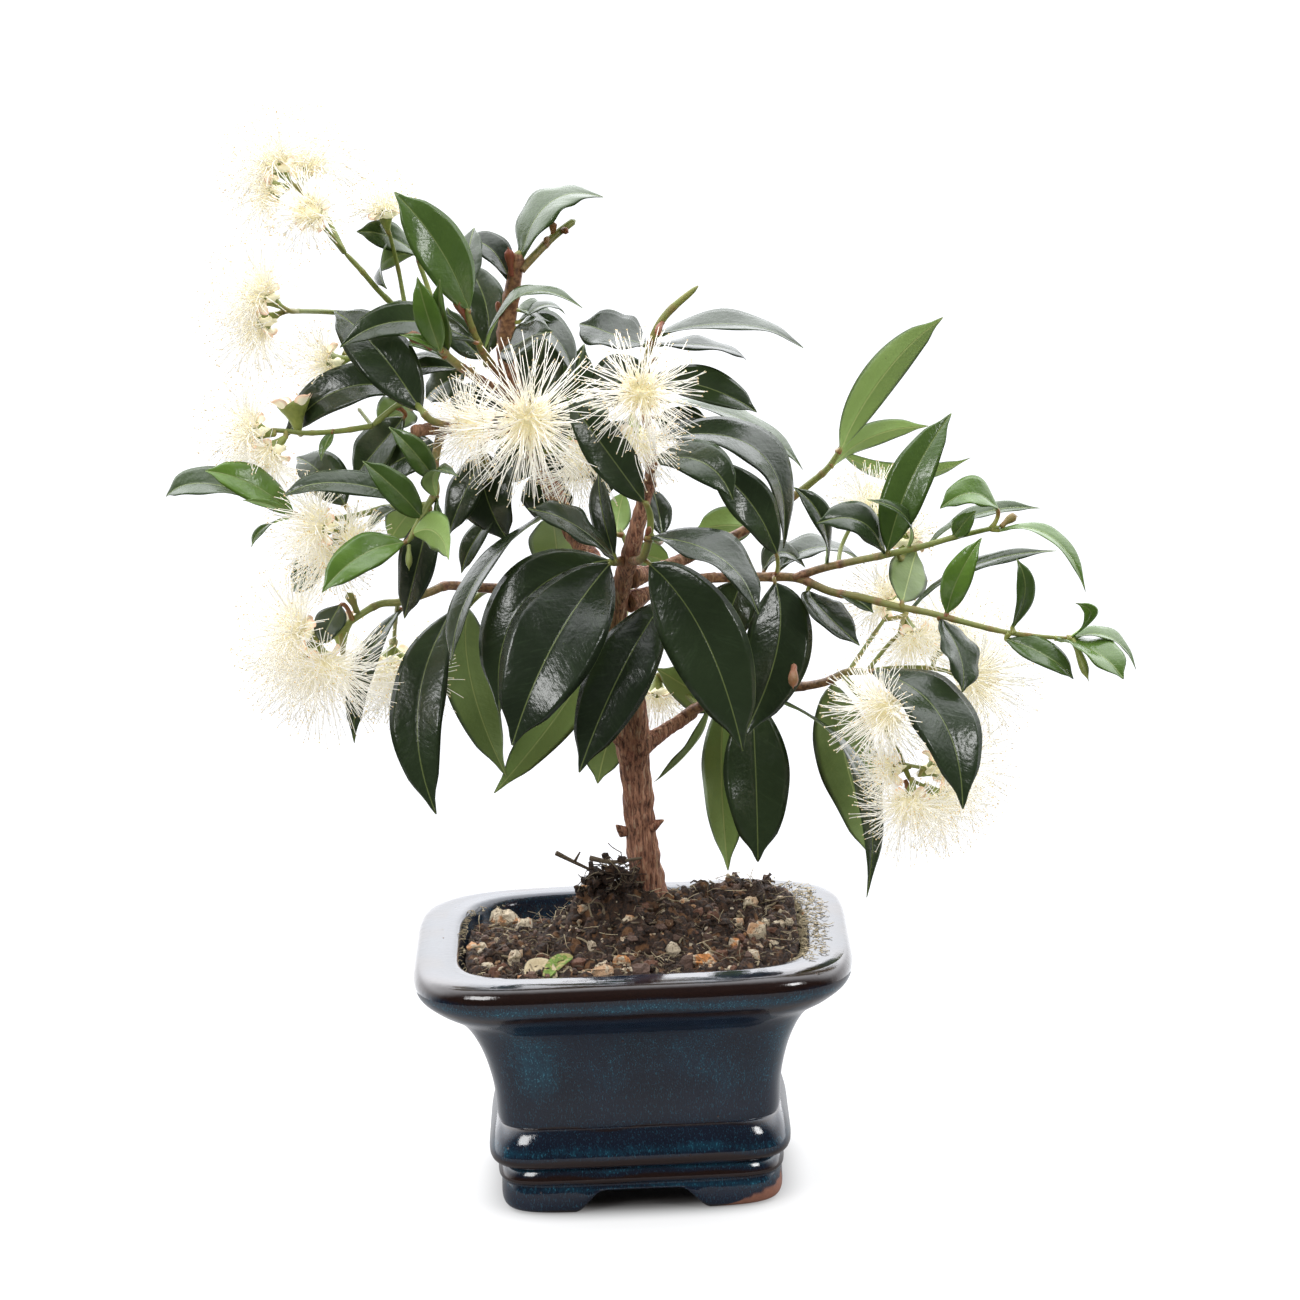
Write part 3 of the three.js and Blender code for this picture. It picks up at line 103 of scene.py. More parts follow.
# %% [markdown]
# ## Curves and skins
#
# Nearly everything on a plant is a section carried along a curve: a stem is a circle, a leaf is a
# thin folded lens, a stamen is a hair. One skin therefore serves them all. It takes rings of
# points, joins each ring to the next with four-sided faces and closes both ends to a point. Curve
# objects with a bevel could make the stems, but not the leaves, and numbers stored on the rings
# tell the finishes where along a leaf or how high on the pot a point lies.

# %% Curves
def unit(vectors):
    """Vectors divided by their length."""
    return vectors / np.maximum(np.linalg.norm(vectors, axis=-1, keepdims=True), 1e-9)


def square_to(vector, way):
    """The part of a vector at right angles to the way, made unit."""
    return unit(vector - way * (vector * way).sum(-1, keepdims=True))


def turned_with(vector, start, ways):
    """The vector under the least turn that takes start to each way: v - (s+w)((s+w).v)/(1+s.w) + 2w(s.v)."""
    total = start + ways
    share = (total @ vector) / np.maximum(1 + ways @ start, 1e-3)
    return vector - share[..., None] * total + 2 * (start @ vector) * ways


def smooth_curve(points, per_span):
    """A cubic for each span between points. Its end slopes weigh the spans by the root of their length."""
    points = np.asarray(points, float)
    p = np.vstack([2 * points[0] - points[1], points, 2 * points[-1] - points[-2]])
    gap = np.linalg.norm(np.diff(p, axis=0), axis=1)[:, None] ** 0.5
    p0, p1, p2, p3 = p[:-3], p[1:-2], p[2:-1], p[3:]
    d0, d1, d2 = gap[:-2], gap[1:-1], gap[2:]
    m1 = ((p1 - p0) / d0 - (p2 - p0) / (d0 + d1) + (p2 - p1) / d1) * d1
    m2 = ((p2 - p1) / d1 - (p3 - p1) / (d1 + d2) + (p3 - p2) / d2) * d1
    t = (np.arange(per_span) / per_span)[None, :, None]
    p1, p2, m1, m2 = (a[:, None] for a in (p1, p2, m1, m2))
    curve = p1 + m1 * t + (3 * (p2 - p1) - 2 * m1 - m2) * t ** 2 + (2 * (p1 - p2) + m1 + m2) * t ** 3
    return np.vstack([curve.reshape(-1, points.shape[1]), points[-1:]])


def bent(start, control, end, ways):
    """Start, control and end weighted by (1-t)^2, 2t(1-t) and t^2, and the direction there."""
    t = np.asarray(ways)[:, None]
    return ((1 - t) ** 2 * start + 2 * t * (1 - t) * control + t ** 2 * end,
            unit((1 - t) * (control - start) + t * (end - control)))


def run_along(points):
    """Length from the first point to each point."""
    return np.concatenate([[0], np.cumsum(np.linalg.norm(np.diff(points, axis=0), axis=1))])


def ripple(places, size, seed, waves=24):
    """A sum of plane waves of drawn directions, about one size long, scaled to stay near -1 to 1."""
    draw = np.random.default_rng(seed)
    ways = unit(draw.normal(size=(waves, 3))) * draw.uniform(0.6, 1.6, (waves, 1)) * 2 * np.pi / size
    return np.sin(places @ ways.T + draw.uniform(0, 2 * np.pi, waves)).sum(-1) / math.sqrt(waves)


def eased(x, low, high):
    """3s^2 - 2s^3, where s is how far x has come from low to high."""
    s = np.clip((x - low) / (high - low), 0, 1)
    return s * s * (3 - 2 * s)


# %% Skins
def round_angles(count):
    """Angles evenly round a circle: k 2 pi / count."""
    return np.arange(count) * 2 * np.pi / count


def spokes(side, other, count):
    """Unit spokes round each place: side cos a + other sin a."""
    angle = round_angles(count)
    return side[..., None, :] * np.cos(angle)[:, None] + other[..., None, :] * np.sin(angle)[:, None]


class Piece:
    """Gathers closed skins and their values, then makes one mesh of them."""

    def __init__(self, name):
        self.name, self.count = name, 0
        self.points, self.quads, self.tips, self.values = [], [], [], []
        self.round_quads, self.round_tips, self.triangles = [], [], 0

    def add(self, rings, looped=False, facets=False, **values):
        """Skins of rings, shaped (skins, along, around, 3).

        Point (i, k) joins (i, k+1), (i+1, k+1) and (i+1, k). Unless it is looped, the middle of the
        first and of the last ring closes the skin.
        """
        rings = rings.reshape((-1,) + rings.shape[-3:])
        skins, along, around, _ = rings.shape
        size = along * around + (0 if looped else 2)
        i, k = np.meshgrid(np.arange(along if looped else along - 1), np.arange(around), indexing="ij")
        j, m = (i + 1) % along, (k + 1) % around
        quad = np.stack([i * around + k, i * around + m, j * around + m, j * around + k], -1).reshape(-1, 4)
        first = (self.count + np.arange(skins) * size)[:, None, None]
        self.quads.append((quad + first).reshape(-1, 4))
        self.round_quads.append(np.full(len(self.quads[-1]), not facets))
        points = rings.reshape(skins, -1, 3)
        shaped = {n: np.broadcast_to(v, rings.shape[:3]).reshape(skins, -1) for n, v in values.items()}
        if not looped:
            k = np.arange(around)
            low, last = np.full(around, along * around), (along - 1) * around
            tip = np.concatenate([np.stack([low, (k + 1) % around, k], -1),
                                  np.stack([low + 1, last + k, last + (k + 1) % around], -1)])
            self.tips.append((tip + first).reshape(-1, 3))
            self.round_tips.append(np.full(len(self.tips[-1]), not facets))
            points = np.concatenate([points, rings[:, 0].mean(1)[:, None], rings[:, -1].mean(1)[:, None]], 1)
            shaped = {n: np.concatenate([v, v[:, :1], v[:, last:last + 1]], 1) for n, v in shaped.items()}
        self.points.append(points.reshape(-1, 3))
        self.values.append({n: v.ravel() for n, v in shaped.items()})
        self.count += skins * size
        return self

    def make(self, material, nodes=(), slot="leaf"):
        """The mesh in metres, in place, riding on the part and standing for the named nodes."""
        quads = np.concatenate(self.quads)
        tips = np.concatenate(self.tips) if self.tips else np.zeros((0, 3), int)
        points = (np.concatenate(self.points) + CENTRE) * MM
        mesh = bpy.data.meshes.new(self.name)
        mesh.vertices.add(len(points))
        mesh.vertices.foreach_set("co", points.astype(np.float32).ravel())
        mesh.loops.add(quads.size + tips.size)
        mesh.loops.foreach_set("vertex_index", np.concatenate([quads.ravel(), tips.ravel()]).astype(np.int32))
        mesh.polygons.add(len(quads) + len(tips))
        starts = np.concatenate([np.arange(len(quads)) * 4, quads.size + np.arange(len(tips)) * 3])
        mesh.polygons.foreach_set("loop_start", starts.astype(np.int32))
        mesh.polygons.foreach_set("use_smooth", np.concatenate(self.round_quads + self.round_tips))
        for name in self.values[0]:
            layer = mesh.attributes.new(name, "FLOAT", "POINT")
            whole = np.concatenate([v.get(name, np.zeros(1)) for v in self.values])
            layer.data.foreach_set("value", whole.astype(np.float32))
        mesh.update(calc_edges=True)
        mesh.materials.append(material)
        thing = bpy.data.objects.new(self.name, mesh)
        bpy.context.scene.collection.objects.link(thing)
        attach(thing, "root")
        if nodes:
            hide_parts(*nodes)
        self.triangles = 2 * len(quads) + len(tips)


def tube(points, radius, around, ways=None):
    """A circle round each point: point + radius (cos a side + sin a other), square to the way along."""
    ways = unit(np.gradient(points, axis=0)) if ways is None else ways
    middle = ways[len(ways) // 2]
    aside = square_to(UP if abs(middle[2]) < 0.8 else ACROSS, middle)
    side = turned_with(aside, middle, ways)
    radius = np.asarray(radius, float)
    radius = radius[:, None] if radius.ndim == 1 else radius
    return points[:, None] + spokes(side, np.cross(ways, side), around) * radius[..., None]


# %% [markdown]
# ## Finishes
#
# A finish is a small sum over where a point lies: how far along a leaf, how far from its midrib,
# how high on the pot. Each sum is a net of nodes, which is hard to read once it is drawn, so a
# small class lets numbers in a finish be added and multiplied like ordinary ones.

# %% Sums for finishes
class Number:
    """A number that varies over a surface. Sums and products of it make more of them."""

    def __init__(self, paint, socket):
        self.paint, self.socket = paint, socket

    def sum(self, operation, *others):
        return self.paint.node("ShaderNodeMath", [self, *others], operation=operation)

    def __add__(self, other):
        return self.sum("ADD", other)

    def __sub__(self, other):
        return self.sum("SUBTRACT", other)

    def __mul__(self, other):
        return self.sum("MULTIPLY", other)

    def __truediv__(self, other):
        return self.sum("DIVIDE", other)

    def __pow__(self, other):
        return self.sum("POWER", other)

    def __rsub__(self, other):
        return self.paint.number(other) - self

    __radd__, __rmul__ = __add__, __mul__

    def size(self):
        return self.sum("ABSOLUTE")

    def rise(self, low, high, first=0.0, last=1.0):
        """The first value below low and the last above high, eased between."""
        return self.paint.node("ShaderNodeMapRange", [self, low, high, first, last],
                               interpolation_type="SMOOTHSTEP")


class Paint:
    """The nodes of a material or of the room, round the one node that gives them their surface."""

    def __init__(self, owner, surface="Principled BSDF"):
        self.owner = owner
        owner.use_nodes = True
        self.tree = owner.node_tree
        self.surface = self.tree.nodes[surface]

    def fill(self, socket, value):
        """Links a varying number to a socket, or sets the socket to a plain value."""
        if isinstance(value, Number):
            self.tree.links.new(value.socket, socket)
        else:
            socket.default_value = value

    def node(self, kind, inputs=(), output=0, **settings):
        """Adds a node of a kind, gives it settings, then inputs by place or by name."""
        made = self.tree.nodes.new(kind)
        for name, value in settings.items():
            setattr(made, name, value)
        for place, value in inputs.items() if isinstance(inputs, dict) else enumerate(inputs):
            self.fill(made.inputs[place], value)
        return Number(self, made.outputs[output])

    def number(self, value):
        made = self.node("ShaderNodeValue")
        made.socket.default_value = value
        return made

    def value(self, name):
        """A value stored on the mesh."""
        return self.node("ShaderNodeAttribute", attribute_name=name, attribute_type="GEOMETRY", output="Fac")

    def place(self, across=1.0, deep=1.0, high=1.0):
        """The point's own place in millimetres, stretched along each way."""
        own = self.node("ShaderNodeTexCoord", output="Object")
        scale = (across / MM, deep / MM, high / MM)
        return self.node("ShaderNodeVectorMath", [own, scale], operation="MULTIPLY")

    def grain(self, place, size, detail=3.0, rough=0.55):
        """Cloudy noise of a size in millimetres, from 0 to 1."""
        inputs = {"Vector": place, "Scale": 1 / size, "Detail": detail, "Roughness": rough}
        return self.node("ShaderNodeTexNoise", inputs)

    def cells(self, place, size):
        """The distance to the middle of the nearest of many cells of a size in millimetres."""
        return self.node("ShaderNodeTexVoronoi", {"Vector": place, "Scale": 1 / size}, output="Distance")

    def blend(self, share, first, second):
        """A colour that goes from the first to the second as the share goes from 0 to 1."""
        return self.node("ShaderNodeMix", {0: share, 6: first, 7: second}, output=2, data_type="RGBA")

    def finish(self, height=None, depth=0.1, **inputs):
        """Joins the sums to the surface. A height roughens it by a depth in millimetres."""
        if height is not None:
            bump = self.node("ShaderNodeBump", {"Height": height, "Distance": depth * MM, "Strength": 1.0})
            self.fill(self.surface.inputs["Normal"], bump)
        for name, value in inputs.items():
            self.fill(self.surface.inputs[name.replace("_", " ")], value)
        return self.owner


def new_paint(name):
    return Paint(bpy.data.materials.new(name))


def tone(red, green, blue):
    """A colour as printed, from 0 to 255 a channel, as light: ((c/255 + 0.055)/1.055)^2.4."""
    return tuple(((c / 255 + 0.055) / 1.055) ** 2.4 for c in (red, green, blue)) + (1.0,)


# %% [markdown]
# ### Leaf
#
# A grown leaf is nearly black green and leathery above, matt and paler below. A fine pale line
# marks the midrib and another the margin, and close side veins run out to it. The skin between
# the veins is slightly puckered, which breaks the window's reflection into patches. A leaf lets
# some light through, which a faint glow of its under side stands for.

# %% Leaf finish
def leaf_finish():
    """Under and upper skin by the face, the upper from young to old by age, then veins and margin."""
    p = new_paint("leaf")
    run, aside, edge = p.value("run"), p.value("aside").size(), p.value("edge")
    top, age, shade = p.value("topside"), p.value("age"), p.value("shade")
    place = p.place()
    cloud = p.grain(place, 9.0, 3.0)
    speck = p.grain(place, 0.7, 2.0).rise(0.70, 0.76) * p.grain(place, 6.0).rise(0.5, 0.62)
    along_vein = p.node("ShaderNodeCombineXYZ", [run - aside * 0.75, aside * 0.22, shade * 50.0])
    streak = p.grain(along_vein, 1.15, 3.0, 0.6)
    midrib = 1.0 - aside.rise(0.08, 0.26)
    margin = 1.0 - edge.rise(0.05, 0.2)
    old = p.blend(cloud, tone(25, 33, 22), tone(41, 52, 34))
    young = p.blend(cloud, tone(66, 98, 32), tone(106, 138, 56))
    upper = p.blend(age.rise(0.1, 0.7), young, old)
    upper = p.blend(shade * 0.45, upper, tone(60, 76, 46))
    upper = p.blend(streak.rise(0.5, 0.8) * 0.1, upper, tone(84, 108, 70))
    upper = p.blend(margin * 0.3, upper, tone(112, 132, 78))
    upper = p.blend(midrib * 0.55, upper, tone(128, 142, 84))
    under = p.blend(cloud, tone(88, 108, 56), tone(120, 138, 84))
    # young under sides are paler, and are painted brighter still for the light that shines through them
    under = p.blend(1.0 - age.rise(0.35, 0.7), under, tone(126, 152, 80))
    under = p.blend(streak.rise(0.45, 0.75) * 0.25, under, tone(128, 146, 84))
    under = p.blend(midrib * 0.7, under, tone(164, 176, 110))
    under = p.blend(speck * 0.7, under, tone(58, 48, 30))
    blade = p.blend(top, under, upper)
    stalk = p.blend(cloud.rise(0.4, 0.6), tone(132, 84, 50), tone(140, 146, 74))
    colour = p.blend(run.rise(-0.6, 0.8), stalk, blade)
    rough = 0.52 - top * 0.33 + streak * 0.08
    pucker = p.grain(place, 0.9, 2.0, 0.5) * 0.4 + p.grain(place, 3.4, 2.0) * 1.3
    height = pucker + streak * 0.5 - midrib * 0.4
    glow = p.blend(top, under, (0, 0, 0, 1))
    return p.finish(height, 0.16, Base_Color=colour, Roughness=rough, IOR=1.5,
                    Emission_Color=p.blend(run.rise(-0.6, 0.8), (0, 0, 0, 1), glow), Emission_Strength=0.1)


# %% [markdown]
# ### Bark and green twigs
#
# Old bark splits into upright fibres and pale flakes, with redder patches and dark cracks between
# them. Noise that is stretched upward gives both. A twig grows through three coats: yellow-green
# while it is thin, then reddish where the light reaches it, then brown.

# %% Bark and twig finishes
def bark_finish():
    """Fibres from dark to light, under pale flakes, red patches and dark cracks."""
    p = new_paint("bark")
    cloud = p.grain(p.place(), 6.0, 3.0)
    fibre = p.grain(p.place(2.0, 2.0, 0.2), 1.3, 5.0, 0.7)
    flake = p.grain(p.place(1.0, 1.0, 0.24), 1.1, 4.0, 0.62)
    colour = p.blend(fibre.rise(0.36, 0.64), tone(102, 63, 47), tone(182, 130, 102))
    colour = p.blend(flake.rise(0.54, 0.66) * 0.5, colour, tone(208, 176, 146))
    colour = p.blend(cloud.rise(0.52, 0.7) * 0.5, colour, tone(138, 76, 56))
    colour = p.blend((1.0 - flake.rise(0.34, 0.46)) * 0.8, colour, tone(46, 26, 20))
    colour = p.blend(p.value("young") * 0.5, colour, tone(128, 96, 62))
    height = flake * 1.2 + fibre * 0.8 + cloud * 0.4
    return p.finish(height, 0.7, Base_Color=colour, Roughness=0.75)


def twig_finish():
    """Green to red by the stored redness, then to brown as the stem's radius passes a millimetre."""
    p = new_paint("twig")
    width, red = p.value("width"), p.value("red")
    place = p.place()
    cloud = p.grain(place, 4.0, 3.0)
    green = p.blend(cloud, tone(88, 102, 42), tone(138, 144, 72))
    colour = p.blend((red + cloud * 0.5 - 0.25).rise(0.35, 1.1), green, tone(126, 60, 42))
    brown = p.blend(p.grain(place, 1.2, 4.0).rise(0.35, 0.65), tone(92, 58, 40), tone(150, 108, 76))
    colour = p.blend(width.rise(0.95, 1.35), colour, brown)
    height = p.grain(place, 1.1, 3.0) + cloud
    return p.finish(height, 0.14, Base_Color=colour, Roughness=0.5)


# %% [markdown]
# ### Glaze
#
# A dark blue glaze runs thin over every edge while it is molten, and the iron in the clay shows
# there as brown. It pools thick in hollows and breaks to a milky blue-green in streaks where it
# has flowed. On the upward slope of the big ring that milky blue-green is partly a painted
# highlight. The mesh carries how thin and how streaky the coat is.

# %% Glaze finish
def glaze_finish():
    """Dark base, milky blue where the coat flows thick and, on the big ring, as a painted highlight,
    brown where it is thin, and bare clay.
    """
    p = new_paint("glaze")
    thin, milk, bare = p.value("thin"), p.value("milk"), p.value("bare")
    place = p.place()
    drip = p.grain(p.place(1.0, 1.0, 0.14), 1.3, 5.0, 0.65)
    cloud = p.grain(place, 16.0, 3.0)
    fine = p.grain(place, 0.5, 2.0)
    fleck = p.grain(p.place(1.0, 1.0, 0.34), 0.34, 2.0, 0.6)
    pores = (1.0 - p.cells(place, 5.5).rise(0.04, 0.075)) * p.grain(place, 15.0).rise(0.48, 0.62)
    base = p.blend(cloud, tone(14, 16, 24), tone(23, 31, 47))
    blue = p.blend(drip, tone(12, 38, 56), tone(26, 76, 92))
    # milky glaze where it flows, and on the slope of the big ring partly a painted highlight
    flow_and_highlight = (milk * 0.8 + drip * 0.9 + cloud * 0.9 - 1.15).rise(0.0, 1.0)
    colour = p.blend(flow_and_highlight * 0.75, base, blue)
    colour = p.blend(fleck.rise(0.55, 0.72) * (flow_and_highlight * 0.55 + 0.14), colour, tone(64, 138, 160))
    brown = p.blend(fine, tone(16, 11, 11), tone(40, 25, 20))
    colour = p.blend((thin * 1.2 + drip * 0.5 - 0.35).rise(0.1, 0.8), colour, brown)
    colour = p.blend(pores * 0.7, colour, tone(70, 46, 34))
    clay = p.blend(p.grain(place, 0.8, 4.0), tone(96, 58, 42), tone(132, 84, 62))
    colour = p.blend(bare, colour, clay)
    rough = 0.06 + fine * 0.02 + thin * 0.03 + bare * 0.5
    height = cloud * 1.2 + drip * 0.25 + p.grain(place, 3.0, 2.0) * 0.3 - pores * 0.8
    return p.finish(height, 0.16, Base_Color=colour, Roughness=rough, IOR=1.5,
                    Coat_Weight=(1.0 - bare) * 0.15, Coat_Roughness=0.03)


# %% [markdown]
# ### Soil and flowers
#
# The planting mix is dark peat with pumice, brown grit and fibres in it, so each lump carries its
# own kind. A flower is cream all over: its threads are a little yellower at the foot, each ends
# in a tan anther, and the cup below is the green of a young twig. Light scatters through hundreds
# of threads, and a small glow of their own stands for that.

# %% Soil and flower finishes
def soil_finish():
    """One colour for each kind of thing in the mix, chosen by the kind stored on the mesh."""
    p = new_paint("soil")
    kind, shade = p.value("kind"), p.value("shade")
    place = p.place()
    grain = p.grain(place, 0.8, 4.0, 0.65)
    patch = p.grain(place, 2.0, 3.0)
    peat = p.blend(grain.rise(0.32, 0.68), tone(13, 9, 7), tone(68, 46, 31))
    peat = p.blend(patch.rise(0.52, 0.66) * 0.45, peat, tone(84, 56, 34))
    peat = p.blend(shade.rise(0.7, 1.0) * 0.6, peat, tone(132, 92, 56))
    pumice = p.blend(grain, tone(170, 150, 120), tone(226, 214, 190))
    pumice = p.blend(p.grain(place, 4.2, 3.0).rise(0.48, 0.58) * shade, pumice, tone(196, 128, 66))
    pumice = p.blend((1.0 - grain.rise(0.34, 0.48)) * 0.8, pumice, tone(70, 54, 42))
    grit = p.blend(grain, tone(54, 38, 32), tone(124, 98, 84))
    grit = p.blend(shade.rise(0.6, 0.8) * 0.6, grit, tone(116, 74, 52))
    fibre = p.blend(shade, tone(56, 38, 25), tone(218, 200, 162))
    green = p.blend(grain, tone(74, 112, 36), tone(140, 164, 74))
    green = p.blend(patch.rise(0.5, 0.58) * 0.8, green, tone(176, 160, 104))
    colour = p.blend(kind.rise(0.4, 0.6), peat, pumice)
    colour = p.blend(kind.rise(1.4, 1.6), colour, grit)
    colour = p.blend(kind.rise(2.4, 2.6), colour, fibre)
    colour = p.blend(kind.rise(3.4, 3.6), colour, green)
    return p.finish(grain * 1.4 + patch, 0.9, Base_Color=colour, Roughness=0.85)


def stamen_finish():
    """Threads that pale along their length, then anthers, petals and the disc by the stored kind."""
    p = new_paint("stamens")
    along, kind = p.value("along"), p.value("kind")
    thread = p.blend(along.rise(0.05, 0.6), tone(250, 243, 210), tone(250, 247, 238))
    # painted shade: a drawn share darkens each thread, as for threads lying in the shadow of others
    thread = p.blend(p.value("shade") * 0.35, thread, tone(222, 214, 192))
    anther = p.blend(p.value("shade"), tone(240, 228, 188), tone(218, 188, 134))
    petal = p.blend(along.rise(0.55, 1.0), tone(244, 236, 212), tone(238, 202, 174))
    colour = p.blend(kind.rise(0.4, 0.6), thread, anther)
    colour = p.blend(kind.rise(1.4, 1.6), colour, petal)
    colour = p.blend(kind.rise(2.4, 2.6), colour, tone(246, 239, 204))
    return p.finish(Base_Color=colour, Roughness=0.6, Emission_Color=colour, Emission_Strength=0.2)


def cup_finish():
    """Clouded green, reddened by the stored redness."""
    p = new_paint("cup")
    cloud = p.grain(p.place(), 1.5, 3.0)
    colour = p.blend(cloud, tone(98, 112, 44), tone(150, 158, 82))
    colour = p.blend(p.value("red") * 0.8, colour, tone(140, 62, 46))
    return p.finish(cloud, 0.08, Base_Color=colour, Roughness=0.5)


leaf_paint, bark_paint, twig_paint = leaf_finish(), bark_finish(), twig_finish()
glaze_paint, soil_paint = glaze_finish(), soil_finish()
stamen_paint, cup_paint = stamen_finish(), cup_finish()
print("finishes:", [m.name for m in bpy.data.materials])

# %% [markdown]
# ## Thin blades
#
# Leaves, petals and fallen scraps are all a thin lens laid across a bent spine. A flat sheet with
# a Solidify modifier would be quicker, but a lens has the sharp margin of a real leaf, and its
# stalk can be the same skin grown round.

# %% Thin blades
EVEN = np.linspace(-1, 1, 13)
ACROSS_BLADE = np.sign(EVEN) * (0.5 * np.abs(EVEN) + 0.5 * np.abs(EVEN) ** 1.7)


def both_faces(places):
    """Places over the upper face of a blade, then back under it."""
    return np.concatenate([places[::-1], places[1:-1]])


BLADE_U, PETAL_U = both_faces(ACROSS_BLADE), both_faces(ACROSS_BLADE[::2])


def blade_rings(spine, ways, upper, half, thick, rise, round_share=None, rib=None, u=BLADE_U):
    """Sections across a spine. A section point is spine + side x + upper z, with x = u half and
    z = rise(u) +- thickness sqrt(1 - u^4), where a round share turns the lens into a circle."""
    none = np.zeros(len(spine))
    round_share, rib = (none if given is None else given for given in (round_share, rib))
    face = np.where(np.arange(len(u)) <= len(u) // 2, 1.0, -1.0)
    side = unit(np.cross(upper, ways))
    x = u * half[:, None]
    lens = thick[:, None] * np.sqrt(1 - u ** 4)
    circle = half[:, None] * np.sqrt(1 - u ** 2)
    swell = lens + (circle - lens) * round_share[:, None]
    midrib = np.exp(-(x / 0.5) ** 2) * (1 - round_share[:, None])
    z = rise + face * swell - midrib * np.where(face > 0, 0.2, rib[:, None])
    return spine[:, None] + side[:, None] * x[..., None] + upper[:, None] * z[..., None], x, face


print("places round a blade:", len(BLADE_U), "round a petal:", len(PETAL_U))

# %% [markdown]
# ## Pot
#
# The pot was pressed in a mould: a rounded-square section follows one profile from the foot, over
# two rings and a bowed neck, to a wide lip and down inside. Under the floor a recess leaves
# four corner feet, with an arch between each two. A hole through the floor drains it. A modelled
# box with bevels would need a cut for each arch, so the profile is carried round by a formula.

# %% Pot profile: height and half-width of its places
RIM_TOP, RIM_POWER, BODY_POWER = 71.8, 4.6, 6.5
FOOT = [(0.35, 37.9), (1.0, 39.1), (2.2, 39.7), (6, 39.6), (8.6, 39.2)]
RINGS = [(8.6, 13.4, 39.1, 1.3), (13.4, 25.2, 39.7, 2.9)]
NECK = [(25.2, 39.7), (26.4, 40.0), (36, 40.9), (47, 44.2), (55, 49.2), (60, 56.6), (64, 61), (67.6, 62.1),
        (70.4, 60.9), (71.4, 58.3), (71.8, 53)]
INSIDE = [(71.8, 53), (70.9, 49.6), (66, 48), (58, 45), (38, 36.6), (14, 34.7)]
UNDERSIDE = [(12, 33), (12, 22), (12, 12), (11.9, 7.8), (11.4, 7.1), (9.5, 7), (7.9, 7), (7.1, 7.7),
             (7.1, 14), (7.1, 24), (7.1, 30.2), (6.6, 31), (3, 31.2), (0.5, 31.4), (0, 32.2), (0, 34.5),
             (0, 36.9)]
ARCH_TOP, ARCH_INNER, ARCH_OUTER, RECESS_TOP = 6.8, 10.4, 18.9, 7.1


def squareness(height):
    """The power of the rounded square: it falls from the body's to the lip's as the height rises."""
    return BODY_POWER + (RIM_POWER - BODY_POWER) * eased(height, 30, RIM_TOP)


def rounded_square(half, angle, power):
    """x and y where |x|^n + |y|^n = half^n, at an angle drawn a little toward the corners."""
    turned = angle + 0.13 * np.sin(4 * angle)
    c, s = np.cos(turned), np.sin(turned)
    stretch = half / (np.abs(c) ** power + np.abs(s) ** power) ** (1 / power)
    return np.stack([c * stretch, s * stretch], -1)


def arched(points):
    """Lifts the foot between its corners: z becomes a + z (r - a)/r below the recess, a the arch there."""
    beside = np.minimum(np.abs(points[..., 0]), np.abs(points[..., 1]))
    arch = ARCH_TOP * (1 - eased(beside, ARCH_INNER, ARCH_OUTER))
    out = np.abs(points[..., :2]).max(-1) > 29.5
    low = out & (points[..., 2] < RECESS_TOP)
    points[..., 2] = np.where(low, arch + points[..., 2] * (RECESS_TOP - arch) / RECESS_TOP, points[..., 2])
    return points


def ring_arc(low, high, half, out):
    """A bulge between two heights: half + out (1 - |s|^3.2)^0.7 (0.85 - s/2), s from -1 up to 1."""
    s = np.sin(np.linspace(-np.pi / 2, np.pi / 2, 18))
    bulge = half + out * (1 - np.abs(s) ** 3.2) ** 0.7 * (0.85 - 0.5 * s)
    return np.column_stack([(low + high) / 2 + s * (high - low) / 2, bulge])


# %% Pot and its coat: height, width and strength of each band
POT_AROUND = 256
THIN_BANDS = [(0.2, 1.1, 1.0), (10.4, 1.3, 0.9), (15.4, 1.3, 1.0), (25.0, 0.5, 0.7), (61.2, 1.1, 0.9),
              (69.0, 2.5, 1.0)]
# The band at 18.9 mm lies on the upward slope of the big ring; its milky blue is partly a painted highlight.
MILK_AND_HIGHLIGHT_BANDS = [(7.4, 1.6, 0.8), (18.9, 2.0, 0.85), (13.0, 0.9, 0.9), (64.4, 1.3, 0.8)]
CHIP_CORNER, CHIP_WIDE = 17, 33


def banded(level, bands):
    """The sum of strength exp(-((level - height)/width)^2)."""
    return sum(much * np.exp(-((level - at) / wide) ** 2) for at, wide, much in bands)


